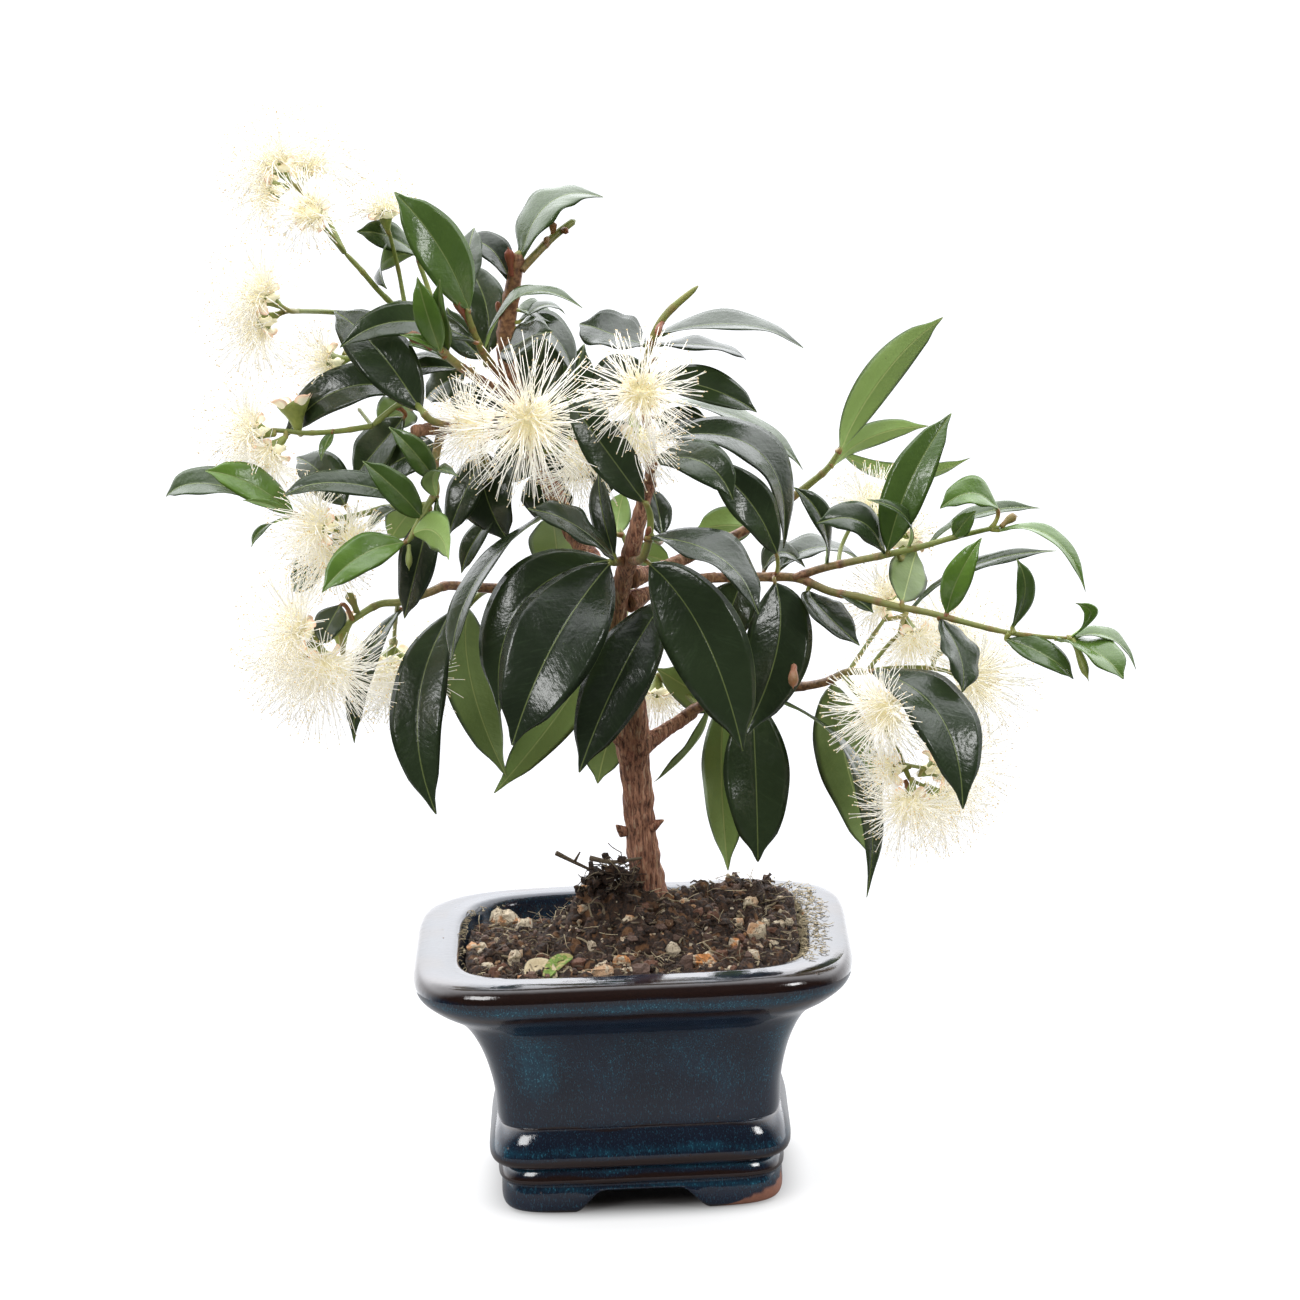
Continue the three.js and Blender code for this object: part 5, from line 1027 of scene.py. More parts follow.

# %% [markdown]
# ## Twig rows
#
# Each twig lists its stems (radius at both ends and the places it passes), its leaves (base, a
# place half way over, tip, how much deeper the tip lies, width, the turn of its upper face from
# the viewer, age, lift and arch) and its flowers (mouth of the cup, depth, facing, reach). A rule
# could grow such a tree, but not this one: each leaf is listed one by one. A flower of no reach is
# spent, with its petals left on it.

# %% Twigs
TWIGS = {
    "twig_leader_top": {"stems": [
        (2.5, 1.8, [(507, 352, 9), (506, 335, 9), (510, 305, 8), (514, 280, 6), (519, 251, 5)]),
        (1.2, 1, [(521, 270, 5), (535, 255, 6), (553, 237, 8), (575, 220, 10)]),
    ], "leaves": [
        ((521, 260), (548, 204), (602, 194), 8, 17, 60, 0.5, 0, 0.1),
        ((511, 283), (490, 248), (464, 243), 6, 10, 40, 0.8),
        ((520, 321), (545, 305), (566, 314), 6, 7, 70, 0.6), ((518, 310), None, (559, 327), 14, 9, 55, 0.5),
        ((503, 352), (525, 340), (550, 329), -10, 15, 56, 0.9, -3),
        ((522, 328), (553, 335), (577, 377), 4, 16, 62, 0.8),
    ], "flowers": []},
    "twig_crown_left": {"stems": [
        (1.4, 0.8, [(506, 380, 11), (488, 360, 3), (479, 344, -2), (472, 328, -5), (466, 308, -8)]),
    ], "leaves": [
        ((468, 309), (441, 250), (396, 192), -6, 15.5, 20, 0.3),
        ((474, 342), (405, 321), (340, 345), -5, 11, 32, 0.6, -2, 0.04),
        ((484, 347), (523, 294), (582, 306), -6, 9, 72, 0.5),
        ((488, 352), (486, 305), (466, 262), 9, 12.5, 10, 0.7, 10),
        ((484, 358), (460, 335), (447, 307), 3, 9, 15, 0.8, 2),
        ((466, 300), None, (474, 227), 12, 9, 20, 0.6, 4),
    ], "flowers": []},
    "twig_upper_left": {"stems": [
        (1.5, 1, [(516, 398, 12), (490, 386, 5), (468, 372, -1), (452, 360, -5), (436, 345, -9)]),
        (0.9, 0.8, [(436, 345, -9), (425, 334, -4), (412, 322, -2), (380, 292, -4), (361, 270, -6),
            (344, 252, -7)]),
        (0.8, 0.6, [(448, 357, -6), (438, 322, 0), (430, 294, 2), (416, 254, 3)]),
        (0.7, 0.5, [(408, 318, -2.4), (404, 300, -2), (398, 268, -1), (387, 224, -2)]),
        (0.8, 0.6, [(344, 252, -7), (331, 236, -10), (321, 224, -12)]),
        (0.7, 0.6, [(344, 252, -7), (335, 233, -4), (320, 206, 1), (300, 189, 2)]),
        (0.8, 0.7, [(412, 322, -2), (385, 322, 5), (350, 314, 8), (328, 312, 6), (289, 311, -4)]),
        (0.7, 0.6, [(350, 314, 8), (353, 336, 6), (342, 357, 4)]),
    ], "leaves": [
        ((440, 350), None, (417, 278), -6, 7.5, 10, 0.3, -2),
        ((446, 353), None, (439, 281), -12, 6.5, 20, 0.3), ((442, 351), None, (402, 334), -7, 3, 30, 0),
        ((443, 357), None, (404, 342), 4, 5, 60, 0.3), ((452, 362), None, (404, 359), 8, 5, 70, 0.8, 2),
        ((458, 369), None, (405, 371), 6, 7, 40, 0.8, 2), ((466, 372), None, (424, 398), 4, 12, 30, 0.9, 6),
        ((425, 340), None, (388, 300), 8, 9, 10, 0.8, 4),
        ((419, 255), (390, 237), (358, 230), -5, 9, 35, 0.5),
        ((418, 252), (383, 262), (386, 289), -12, 9, 110, 0.6),
    ], "flowers": [
        ((279, 167), 0, (-0.55, 0, 0.85), 16), ((275, 190), 4, (-1, 0.1, -0.2), 13),
        ((312, 213), -15, (-0.3, -0.9, 0.35), 12.5), ((304, 172), 8, (0.3, 0.1, 1), 16.5),
        ((385, 213), -2, (-0.1, 0, 1), 10), ((267, 297), -6, (-0.75, -0.15, 0.6), 16.5),
        ((264, 321), -4, (-0.9, 0.1, -0.4), 17), ((333, 362), 2, (-0.9, 0.1, -0.15), 12.5),
    ]},
    "twig_mid_left": {"stems": [
        (1.4, 1, [(452, 427, -3), (438, 423, -9), (428, 418, -11), (421, 410, -11)]),
        (0.9, 0.8, [(425, 414, -11), (413, 403, -6), (400, 404, -4), (386, 414, -4), (372, 426, -4)]),
        (0.8, 0.6, [(372, 426, -4), (340, 431, -5), (305, 433, -6), (285, 431, -7), (268, 430, -8)]),
        (0.6, 0.5, [(372, 426, -4), (358, 408, 2)]),
    ], "leaves": [
        ((421, 411), (378, 350), (334, 309), 11, 16.5, 15, 1, 2, 0.1),
        ((412, 396), (345, 388), (279, 437), 3, 13, 35, 0.9, 3),
        ((410, 409), None, (377, 425), 9, 12, 150, 0.5, 8),
        ((404, 418), (376, 450), (353, 479), 8, 13, 25, 0.9, 2),
        ((333, 432), None, (320, 460), -3, 3.6, 30, 0.3),
    ], "flowers": [
        ((257, 431), -8, (-1, 0, 0.25), 15.5), ((273, 449), -8, (-0.7, -0.2, -0.6), 13),
        ((294, 408), -3, (-0.15, 0.1, 1), 0),
    ]},
    "twig_far_left": {"stems": [
        (1.3, 0.8, [(444, 429, -4), (438, 444, -8), (434, 475, -12), (436, 492, -14), (428, 505, -15),
            (408, 543, -18)]),
        (1, 0.7, [(428, 505, -15), (405, 507, -11), (385, 508, -7), (350, 517, -6), (320, 519, -9),
            (290, 514, -11)]),
        (0.7, 0.6, [(350, 517, -6), (345, 527, -9), (338, 537, -10)]),
    ], "leaves": [
        ((434, 478), None, (390, 427), -7, 7.5, 20, 0.4), ((421, 517), None, (363, 461), -9, 9, 20, 0.4),
        ((424, 506), (345, 483), (281, 494), -2, 9, 45, 0.7),
        ((403, 543), (360, 556), (322, 592), -9, 11, 15, 0.2),
        ((414, 534), (436, 532), (452, 560), -15, 11, 150, 0.2),
        ((436, 497), (434, 472), (457, 474), -8, 8, 100, 0.5),
        ((437, 498), None, (441, 524), -4, 4.5, 60, 0.5),
        ((430, 512), (418, 562), (403, 619), 2, 11.5, 20, 1, 3),
        ((436, 446), None, (384, 470), 8, 13, 25, 1, 3),
        ((293, 514), (252, 484), (206, 470), -6, 11, 30, 0.1),
        ((292, 513), (212, 484), (165, 496), 8, 11, 50, 0.5), ((292, 516), None, (243, 500), -10, 3, 40, 0),
        ((293, 517), (266, 526), (250, 545), -4, 3.6, 70, 0.4),
        ((345, 505), (322, 474), (296, 456), 9, 13, 10, 0.6, 5),
        ((412, 509), None, (389, 541), 8, 10, 165, 0.4, 4), ((398, 508), None, (366, 531), 4, 6, 60, 0.7),
        ((330, 550), None, (291, 592), 8, 9, 15, 0.5, 8),
    ], "flowers": [
        ((325, 527), -13, (-0.95, -0.2, 0.25), 15.5), ((331, 549), -12, (-0.5, -0.2, -0.8), 14),
        ((352, 542), -12, (0.4, -0.4, 0.8), 10),
    ]},
    "twig_low_left": {"stems": [
        (1.5, 0.8, [(506, 589, 6), (470, 587, 2), (445, 586, -2), (430, 592, -4), (400, 602, -5),
            (380, 604, -6), (357, 617, -8), (338, 632, -9), (325, 643, -10)]),
        (0.7, 0.6, [(398, 602, -5), (395, 625, 4), (394, 645, 8)]),
        (1, 0.8, [(489, 588.5, 4.2), (478, 596, 7), (466, 608, 6)]),
    ], "leaves": [
        ((401, 610), (364, 667), (354, 743), -12, 8, 40, 0.9),
        ((340, 606), None, (321, 645), -6, 9, 20, 1, -3),
        ((467, 608), (471, 682), (505, 775), 8, 15, 165, 0.6),
        ((452, 612), (418, 708), (435, 814), -14, 16, 15, 1, -6),
    ], "flowers": [
        ((303, 633), -13, (-0.95, -0.15, 0.35), 18), ((303, 652), -12, (-0.75, -0.3, -0.6), 18),
        ((321, 657), -12, (0.2, -0.4, -0.9), 22), ((339, 625), 0, (-0.1, 0.2, 1), 0),
        ((386, 660), 9, (-0.5, -0.2, -0.8), 17), ((400, 661), 12, (0.35, 0.3, -0.9), 19),
    ]},
    "twig_fork_left": {"stems": [
        (1.4, 1.1, [(622, 561, -6), (612, 562, -10)]),
    ], "leaves": [
        ((609, 565), (553, 645), (512, 744), -16, 26, 5, 1, 0, 0.1),
        ((608, 561), (521, 606), (497, 712), -5, 19, 20, 1, 3),
        ((613, 559), (578, 527), (530, 506), -8, 13, 60, 1, -2),
        ((614, 554), None, (598, 472), 6, 8, 30, 0.9),
    ], "flowers": []},
    "twig_trunk_top": {"stems": [
        (1.3, 0.8, [(632, 561, -7), (643, 557, -12), (649, 538, -14), (650, 515, -15), (645, 501, -16)]),
    ], "leaves": [
        ((650, 564), (706, 640), (742, 752), -5, 23, -10, 1, 0, 0.04),
        ((651, 538), (718, 556), (761, 610), -8, 17, 60, 0.8, -3),
        ((643, 501), (606, 450), (568, 398), -5, 12.5, 10, 0.7, 3),
        ((662, 535), None, (652, 487), 5, 8, 20, 0.7, 6),
    ], "flowers": []},
    "twig_trunk_back": {"stems": [
        (1.2, 0.9, [(618, 640, 3), (609, 634, 8), (614, 665, 11), (626, 700, 12)]),
        (1, 0.8, [(618, 640, 3), (628, 600, 14), (632, 560, 18), (620, 528, 20)]),
    ], "leaves": [
        ((606, 630), (562, 708), (494, 792), 6, 14, 165, 0.5),
        ((624, 702), None, (597, 782), 6, 15, 160, 0.6), ((616, 533), None, (624, 491), 6, 8, 160, 0.3),
        ((628, 552), None, (671, 563), 4, 9, 150, 0.4),
    ], "flowers": []},
    "twig_inner_left": {"stems": [
        (1.3, 1, [(574, 532, 9), (560, 521, 3), (548, 512, -3)]),
    ], "leaves": [
        ((545, 514), (478, 578), (449, 664), -20, 12, 68, 0.8),
        ((552, 516), (556, 545), (560, 580), 16, 15, 170, 0.5, 6),
    ], "flowers": []},
    "twig_hidden_left": {"stems": [
        (1.3, 0.9, [(488, 432, 4), (482, 448, -2), (488, 475, 1), (500, 505, 3)]),
    ], "leaves": [
        ((481, 450), (486, 495), (508, 542), -2, 16.5, 15, 1, 5),
        ((500, 508), (476, 538), (459, 573), 2, 7, 40, 0.7),
        ((494, 494), None, (464, 521), 8, 5, 60, 0.7, 5),
        ((482, 456), (466, 490), (446, 536), -4, 11, 25, 1, 3),
    ], "flowers": []},
    "twig_centre": {"stems": [
        (1.2, 0.8, [(542, 466, 11), (538, 452, 5), (532, 436, -3)]),
        (0.8, 0.7, [(538, 452, 5), (510, 443, 1), (490, 433, -2)]),
        (0.8, 0.7, [(538, 452, 5), (556, 450, 4), (570, 446, 3)]),
    ], "leaves": [
        ((545, 468), None, (553, 524), 2, 15, 15, 0.9, 8),
        ((530, 398), None, (548, 332), 2, 17, 15, 0.9, 12),
        ((540, 430), None, (592, 478), 2, 16, 15, 0.9, 14),
        ((505, 436), None, (516, 376), 2, 15, 15, 0.9, 14),
        ((568, 446), None, (606, 398), 2, 13, 15, 0.9, 10),
        ((500, 438), None, (453, 384), 2, 15, 15, 0.9, 12),
        ((545, 440), None, (494, 478), 2, 14, 15, 0.9, 13),
        ((564, 448), None, (584, 344), 2, 14, 15, 0.9, 16),
    ], "flowers": [
        ((529, 419), -11, (0, -1, -0.08), 24), ((477, 425), -7, (-0.6, -0.75, 0.1), 15),
        ((578, 452), 1, (0.45, -0.4, -0.7), 16),
    ]},
    "twig_trunk_crown": {"stems": [
        (1.5, 0.9, [(649, 487, -11), (651, 462, -8), (648, 430, -3), (646, 400, -1), (647, 360, -1),
            (662, 320, -2), (698, 286, -1)]),
        (0.8, 0.6, [(647, 402, -1), (643, 396, -8)]),
        (0.7, 0.6, [(649, 436, -4), (641, 434, -8)]),
    ], "leaves": [
        ((655, 336), (733, 324), (804, 343), 3, 15, 72, 0.9, 3),
        ((652, 345), (712, 346), (747, 358), 8, 12, 74, 0.9, 5),
        ((650, 378), (708, 388), (757, 412), -6, 12, 30, 0.6, 8),
        ((651, 400), (742, 419), (804, 468), 8, 13, 76, 0.5, 8),
        ((653, 440), (757, 450), (786, 546), 2, 18, 60, 0.9, 4),
        ((652, 462), (702, 462), (733, 499), -8, 12.5, 25, 1, -2),
        ((648, 345), (612, 334), (580, 320), 6, 19, 56, 0.9, 3),
        ((645, 364), None, (592, 402), 2, 15, 20, 0.9, 10),
        ((646, 436), (614, 452), (600, 508), 4, 14, 20, 0.9, 12),
        ((656, 418), None, (716, 446), 4, 13, 25, 0.9, 8),
    ], "flowers": [
        ((641, 392), -16, (0, -1, 0.12), 18), ((635, 434), -12, (0.15, -0.5, -0.85), 15),
    ]},
    "twig_right": {"stems": [
        (1.4, 0.55, [(706, 578, 6), (745, 577, 5), (765, 577, 3), (796, 578, 2), (832, 592, -2),
            (860, 597, -4), (895, 606, -6), (930, 613, -8), (960, 621, -10), (1005, 632, -12),
            (1045, 637, -13), (1073, 638, -14)]),
        (1.3, 0.7, [(794, 578, 2), (820, 569, 1), (850, 562, 0), (880, 556, -1), (920, 547, -2),
            (955, 537, -3), (1002, 526, -4)]),
        (0.7, 0.6, [(838, 565, 1), (842, 545, 6), (853, 524, 8), (863, 515, 9)]),
    ], "leaves": [
        ((775, 583), (777, 650), (743, 738), -7, 19, 10, 1, -3, 0.02),
        ((776, 553), (750, 502), (706, 462), -4, 13, 15, 0.9, -5),
        ((742, 581), None, (722, 640), 2, 15, 15, 0.9, 3),
        ((764, 571), (780, 552), (806, 566), 4, 9, 62, 0.9, 3),
        ((780, 569), (818, 547), (866, 560), 10, 13, 70, 0.8, 6),
        ((827, 563), (822, 520), (795, 487), -5, 8, 55, 0.7),
        ((884, 553), (860, 521), (817, 523), -10, 11.5, 42, 0.7),
        ((888, 550), (910, 482), (951, 413), 2, 12.5, 15, 0.4, -1),
        ((909, 546), (906, 517), (870, 498), -9, 5.5, 70, 0.5),
        ((930, 543), (975, 515), (1040, 505), 8, 7, 68, 0.5, 1),
        ((954, 536), None, (975, 511), -5, 6, 15, 0.1),
        ((997, 509), (972, 493), (940, 508), -3, 10.5, 45, 0.2),
        ((1000, 530), (1052, 537), (1087, 590), -6, 7.5, 62, 0.3),
        ((808, 592), (826, 614), (860, 645), -8, 14, 55, 0.9),
        ((838, 594), None, (874, 612), -4, 5.5, 50, 0.8),
        ((902, 602), (910, 572), (915, 553), 15, 12.5, 165, 0.9),
        ((913, 607), (970, 567), (1056, 549), 8, 7.5, 70, 0.6, 1),
        ((947, 612), (958, 578), (981, 538), -6, 8.5, 20, 0.1),
        ((940, 620), (960, 655), (963, 692), -8, 14, 50, 0.7),
        ((1013, 626), (1025, 592), (1018, 560), -5, 6, 25, 0.4),
        ((1007, 640), (1045, 655), (1074, 678), -6, 9, 30, 0.4),
        ((1057, 639), (1096, 652), (1124, 678), -9, 13, 62, 0.3),
        ((1073, 638), (1110, 637), (1138, 668), 3, 8, 70, 0.3),
        ((1072, 637), (1091, 615), (1076, 604), -5, 4.5, 40, 0),
    ], "flowers": [
        ((872, 508), 9, (-0.15, 0, 1), 12), ((905, 541), 4, (0.2, 0.6, 0.8), 9),
    ]},
    "twig_right_upper": {"stems": [
        (1.6, 0.8, [(708, 547, 10), (732, 537, 11), (752, 526, 12), (778, 508, 12), (812, 482, 12),
            (828, 468, 12), (841, 448, 12)]),
    ], "leaves": [
        ((841, 448), (882, 377), (942, 315), -4, 11, 160, 0.4),
        ((832, 466), (868, 438), (926, 424), 8, 8, 145, 0.4),
        ((752, 528), (726, 525), (696, 530), 10, 11, 165, 0.3, 6),
        ((842, 452), (905, 475), (970, 456), 10, 8, 130, 0.3, 4),
    ], "flowers": []},
    "twig_low_right": {"stems": [
        (1.7, 1.1, [(684, 716, 4.5), (707, 703, 5), (745, 693, 6), (790, 688, 4), (825, 682, 0),
            (848, 672, -3), (870, 672, -5)]),
        (0.8, 0.6, [(866, 671, -5), (900, 668, -3), (930, 668, -1), (952, 672, 0)]),
        (0.6, 0.5, [(932, 668, -1), (938, 652, 2)]),
        (0.7, 0.5, [(849, 671, -3), (870, 640, 3), (888, 614, 7)]),
        (0.7, 0.5, [(868, 670, -5), (888, 645, -3), (903, 630, -1)]),
        (0.9, 0.7, [(844, 676, -3), (862, 698, -6), (880, 717, -8), (893, 742, -8), (903, 764, -8),
            (911, 782, -8)]),
        (0.6, 0.5, [(903, 764, -8), (918, 767, -4), (926, 768, -2)]),
        (0.6, 0.5, [(911, 780, -8), (928, 788, -6)]),
        (0.7, 0.6, [(700, 707, 5), (682, 692, 12), (662, 681, 15)]),
    ], "leaves": [
        ((873, 672), (939, 714), (964, 808), -14, 21, 40, 1, -5),
        ((833, 684), (848, 768), (877, 858), 10, 18, 165, 0.6, 5),
        ((779, 700), (858, 770), (870, 896), -20, 10, 68, 0.8),
        ((708, 708), (690, 748), (652, 781), 14, 7.5, 110, 0.6, 2),
        ((752, 698), (756, 780), (758, 862), -4, 19, 10, 1, -2, 0.03),
        ((724, 703), (722, 785), (729, 869), 10, 13, 165, 0.5, 3),
        ((716, 705), (692, 690), (657, 668), 5, 12, 165, 0.5, 2),
    ], "flowers": [
        ((966, 676), -1, (0.78, -0.55, -0.12), 20), ((944, 644), 4, (0.6, 0.1, 0.75), 17),
        ((891, 602), 9, (-0.75, 0.3, 0.5), 13), ((911, 634), 0, (0.2, -0.5, -0.8), 14),
        ((889, 706), -14, (-0.65, -0.7, -0.25), 18), ((893, 768), -8, (-1, -0.2, 0), 10),
        ((911, 798), -12, (-0.15, -0.6, -0.8), 16.5), ((938, 797), -7, (0.6, -0.3, -0.6), 15),
        ((935, 768), -1, (0.9, 0.2, 0.3), 21), ((657, 692), 15, (-0.1, -0.1, -1), 10),
    ]},
    "leaf_trunk_front": {"stems": [
        (1.1, 0.9, [(657, 591, 1), (664, 598, -5)]),
    ], "leaves": [
        ((663, 602), (618, 678), (579, 772), -12, 18.5, 5, 1, -2),
    ], "flowers": []},
}
# Growing tips: where one starts and ends (column, row, depth), width and redness
SHOOTS = {
    "twig_leader_top": [
        (512, 276, 5, 508, 247, 4, 2.4, 1.0), (553, 238, 8, 553, 221, 8, 2.0, 0.9),
        (559, 232, 9, 569, 233, 7, 1.8, 0.9), (551, 240, 8, 544, 243, 6, 1.8, 0.8),
        (501, 322, 9, 497, 301, 5, 2.0, 1.0),
    ],
    "twig_upper_left": [(432, 348, -8, 405, 334, -11, 2.8, 0.9)],
    "twig_low_right": [(794, 667, -9, 793, 689, -13, 3.4, 0.9), (905, 780, -9, 911, 799, -10, 1.8, 0.9)],
    "twig_trunk_crown": [(649, 480, -12, 657, 462, -15, 1.9, 0.9), (663, 322, -2, 656, 338, -5, 2.2, 0.9)],
    "twig_trunk_top": [(645, 540, -15, 651, 528, -18, 1.8, 0.9)],
    "twig_crown_left": [(471, 326, -5, 452, 295, -10, 2.8, 1.0)],
    "twig_far_left": [(409, 546, -18, 409, 571, -21, 2.2, 0.4)],
    "twig_low_left": [(357, 612, -8, 347, 592, -10, 2.6, 0.5)],
    "twig_right": [(1001, 527, -4, 1018, 516, -2, 2.4, 0.7), (1073, 640, -14, 1089, 682, -19, 2.8, 0.3)],
}
print("twigs:", len(TWIGS), "leaves:", sum(len(t["leaves"]) for t in TWIGS.values()),
      "flowers:", sum(len(t["flowers"]) for t in TWIGS.values()))

# %% [markdown]
# ## Leaves
#
# A leaf of this tree is a smooth oval drawn out to a narrow drip tip, folded along its midrib,
# with a margin that waves a little. One leaf copied over the tree would be light, but no two here
# bend alike, so each is computed. Its spine is a curve through three points. At each place on the
# spine a thin lens-shaped section is laid across, and its stalk is the same skin run on as a
# round cord.

# %% Leaf spine
BLADE_ALONG, STALK_ALONG = 28, 6
OPENING, OPENED_TURNS = math.radians(26), (30, 80)
PLAIN_LIFT, PLAIN_ARCH = 0, 0.08


def blade_share(t):
    """Half-width as a share of the width: 0.5 sin(pi t^0.92)^0.75, pinched just before the tip."""
    body = np.sin(np.pi * np.clip(t, 0, 1) ** 0.92).clip(0) ** 0.75
    return 0.5 * body * (1 - 0.5 * eased(t, 0.82, 0.96)) + 0.012 * eased(t, 0.8, 0.9)


def leaf_spine(row, start, t, draw):
    """The spine's points, ways and upward sides at each t. Its upper face is turned from the viewer
    about the chord, its tip droops by a drawn share of its length, and the blade twists a little."""
    base_seen, over, tip_seen, reach, _, degrees, _ = row[:7]
    lift, arch = row[7:8] or (PLAIN_LIFT,), row[8:9] or (PLAIN_ARCH,)
    base = seen_at(base_seen, start[1] + lift[0] * FULLNESS)
    tip = seen_at(tip_seen, base[1] + reach * REACH_SHARE)
    chord = unit(tip - base)
    length = np.linalg.norm(tip - base)
    facing = square_to(TO_VIEWER, chord)
    sideways = np.cross(chord, facing)
    if sideways @ (UP + 0.35 * np.sign(base[0] - 3) * ACROSS) < 0:
        sideways = -sideways
    turn = math.radians(degrees)
    upper = facing * math.cos(turn) + sideways * math.sin(turn)
    bow = arch[0] * length
    middle = (base + tip) / 2
    middle = seen_at(over, middle[1] - bow * math.cos(turn)) if over else middle + upper * bow
    spine, _ = bent(base, 2 * middle - 0.5 * (base + tip), tip, t)
    droop = draw.uniform(0.0, 0.05) * length
    spine = spine - upper * (droop * eased(t, 0.62, 1.0) ** 2)[:, None]
    ways = unit(np.gradient(spine, axis=0))
    third = BLADE_ALONG // 3
    tops = turned_with(square_to(upper, ways[third]), ways[third], ways)
    opened = OPENING if OPENED_TURNS[0] < degrees < OPENED_TURNS[1] else 0.0
    opened *= np.sign(np.cross(ways[third], tops[third]) @ TO_VIEWER)
    twist = draw.normal(0, 0.16) * (t - 0.3) + 0.1 * draw.normal() * np.sin(2 * np.pi * t)
    twist = twist + opened * (t - 0.25)
    tops = unit(tops * np.cos(twist)[:, None] + np.cross(ways, tops) * np.sin(twist)[:, None])
    return spine, ways, tops


# %% Leaf skin
def leaf_rise(half, t, draw):
    """Height over the midrib as a share of the half-width: fold |u|^1.25 - droop u^4, and a wave
    sin(2 pi n t + start) |u|^2.5 with its own start on each side."""
    u = BLADE_U
    fold = draw.uniform(0.14, 0.3) * np.abs(u) ** 1.25 - draw.uniform(0.0, 0.14) * u ** 4
    waves, (right, left) = draw.uniform(1.5, 3.2), draw.uniform(0, 6.28, 2)
    phase = waves * 2 * np.pi * t[:, None]
    wave = np.where(u > 0, np.sin(phase + right), np.sin(phase + left)) * np.abs(u) ** 2.5
    return half[:, None] * (fold + wave * draw.uniform(0.03, 0.1))


def leaf_skin(piece, row, order, stem_points, stem_seen, seed):
    """One leaf on its stalk. The stalk starts at the stem's nearest place as seen from the front."""
    wide, age = row[4], row[6]
    draw = np.random.default_rng(seed * 1000 + order)
    start = stem_points[np.argmin(((stem_seen - row[0]) ** 2).sum(1))]
    t = np.linspace(0, 1, BLADE_ALONG) ** 0.92
    spine, ways, tops = leaf_spine(row, start, t, draw)
    set_out = np.linalg.norm(spine[0] - start)
    s = np.linspace(0, 1, STALK_ALONG + 1)[:-1]
    stalk, stalk_ways = bent(start, spine[0] - ways[0] * 0.4 * set_out, spine[0], s)
    stalk_ways = unit(stalk_ways + 1e-3 * ways[0])
    stalk_half = 0.62 + 0.3 * np.exp(-(s * set_out / 0.9) ** 2)
    half = np.maximum(wide * blade_share(t), 0.1)
    half = np.maximum(half, 0.55 * (1 - eased(t, 0.0, 0.1)))
    round_share = 1 - eased(t, 0.0, 0.07)
    thick = (0.13 + 0.05 * age) * (1 - 0.5 * eased(t, 0.85, 1))
    rise = leaf_rise(half, t, draw) * (1 - round_share)[:, None]
    blade, x, face = blade_rings(spine, ways, tops, half, thick, rise, round_share, 0.36 * (1 - 0.75 * t))
    stalk, stalk_x, _ = blade_rings(stalk, stalk_ways, turned_with(tops[0], ways[0], stalk_ways), stalk_half,
                                    stalk_half, np.zeros((STALK_ALONG, 1)), np.ones(STALK_ALONG))
    run = np.concatenate([(s - 1) * max(set_out, 1), run_along(spine)])
    from_margin = half[:, None] * (1 - np.abs(BLADE_U)) + 3 * (1 - eased(t, 0.0, 0.05))[:, None]
    aside = np.vstack([stalk_x, x])
    piece.add(np.concatenate([stalk, blade])[None], run=run[:, None], aside=aside,
              edge=np.vstack([np.full_like(stalk_x, 2.0), from_margin]), topside=(face > 0) * 1.0, age=age,
              shade=draw.random())


# %% [markdown]
# ## Stems, cups and buds
#
# Green stems keep a slight edge on two sides and swell at their joints. A flower's cup is a funnel
# on a short stalk, with four lobes at its mouth. It could be turned with Spin, but carried along
# its axis as a profile it stays one skin with its stalk. A growing tip ends in a small red bud.

# %% Stem and cup skins
JOINT_SPACING, STEM_AROUND, CUP_AROUND = 11.0, 10, 16
# Radius and height over the mouth
CUP_PROFILE = np.array([(0.8, -4.6), (1.05, -4.0), (1.25, -3.2), (1.6, -2.3), (2.1, -1.3), (2.75, -0.4),
                        (3.2, 0.35), (3.35, 0.9), (3.2, 0.95), (2.9, 0.3), (2.4, -0.5), (1.6, -1.0),
                        (0.7, -1.1)])


def joint(run, seed, wide):
    """exp(-(distance from the nearest joint / width)^2), with a joint every 11 mm."""
    return np.exp(-(((run + 3.1 * seed) % JOINT_SPACING - JOINT_SPACING / 2) / wide) ** 2)


def stem_skin(piece, points, start, end, red, seed):
    """A tube whose radius runs from start to end, flattened by 7 percent, with swollen joints."""
    run = run_along(points)
    share = run / run[-1]
    radius = start + (end - start) * share
    radius = radius * (1 + 0.16 * joint(run, seed, 0.8))
    radius = radius * np.sqrt(np.clip(1.02 - share ** 30, 0.08, 1))
    flat = 1 + 0.07 * np.cos(2 * round_angles(STEM_AROUND) + seed)
    piece.add(tube(points, radius[:, None] * flat, STEM_AROUND)[None], width=radius[:, None],
              red=red + 0.2 * joint(run, seed, 1.2)[:, None])


def bud_skin(piece, shoot):
    """A short shoot that ends in a bud: the radius swells by sin(pi t^1.5)^1.2 in the bud and closes."""
    x0, y0, d0, x1, y1, d1, wide, red = shoot
    ends = seen_at([(x0, y0), (x1, y1)], drawn_out([d0, d1]))
    t = np.linspace(0, 1, 22)
    path = ends[0] + (ends[1] - ends[0]) * t[:, None] + UP * (0.6 * np.sin(np.pi * t))[:, None]
    radius = wide / 2 * (0.42 + 0.58 * np.sin(np.pi * np.clip(t, 0.25, 1) ** 1.5) ** 1.2)
    radius = radius * (1 - 0.9 * eased(t, 0.75, 1.0))
    flat = 1 + 0.16 * np.cos(2 * round_angles(STEM_AROUND))
    piece.add(tube(path, radius[:, None] * flat, STEM_AROUND)[None], width=0.4, red=red)


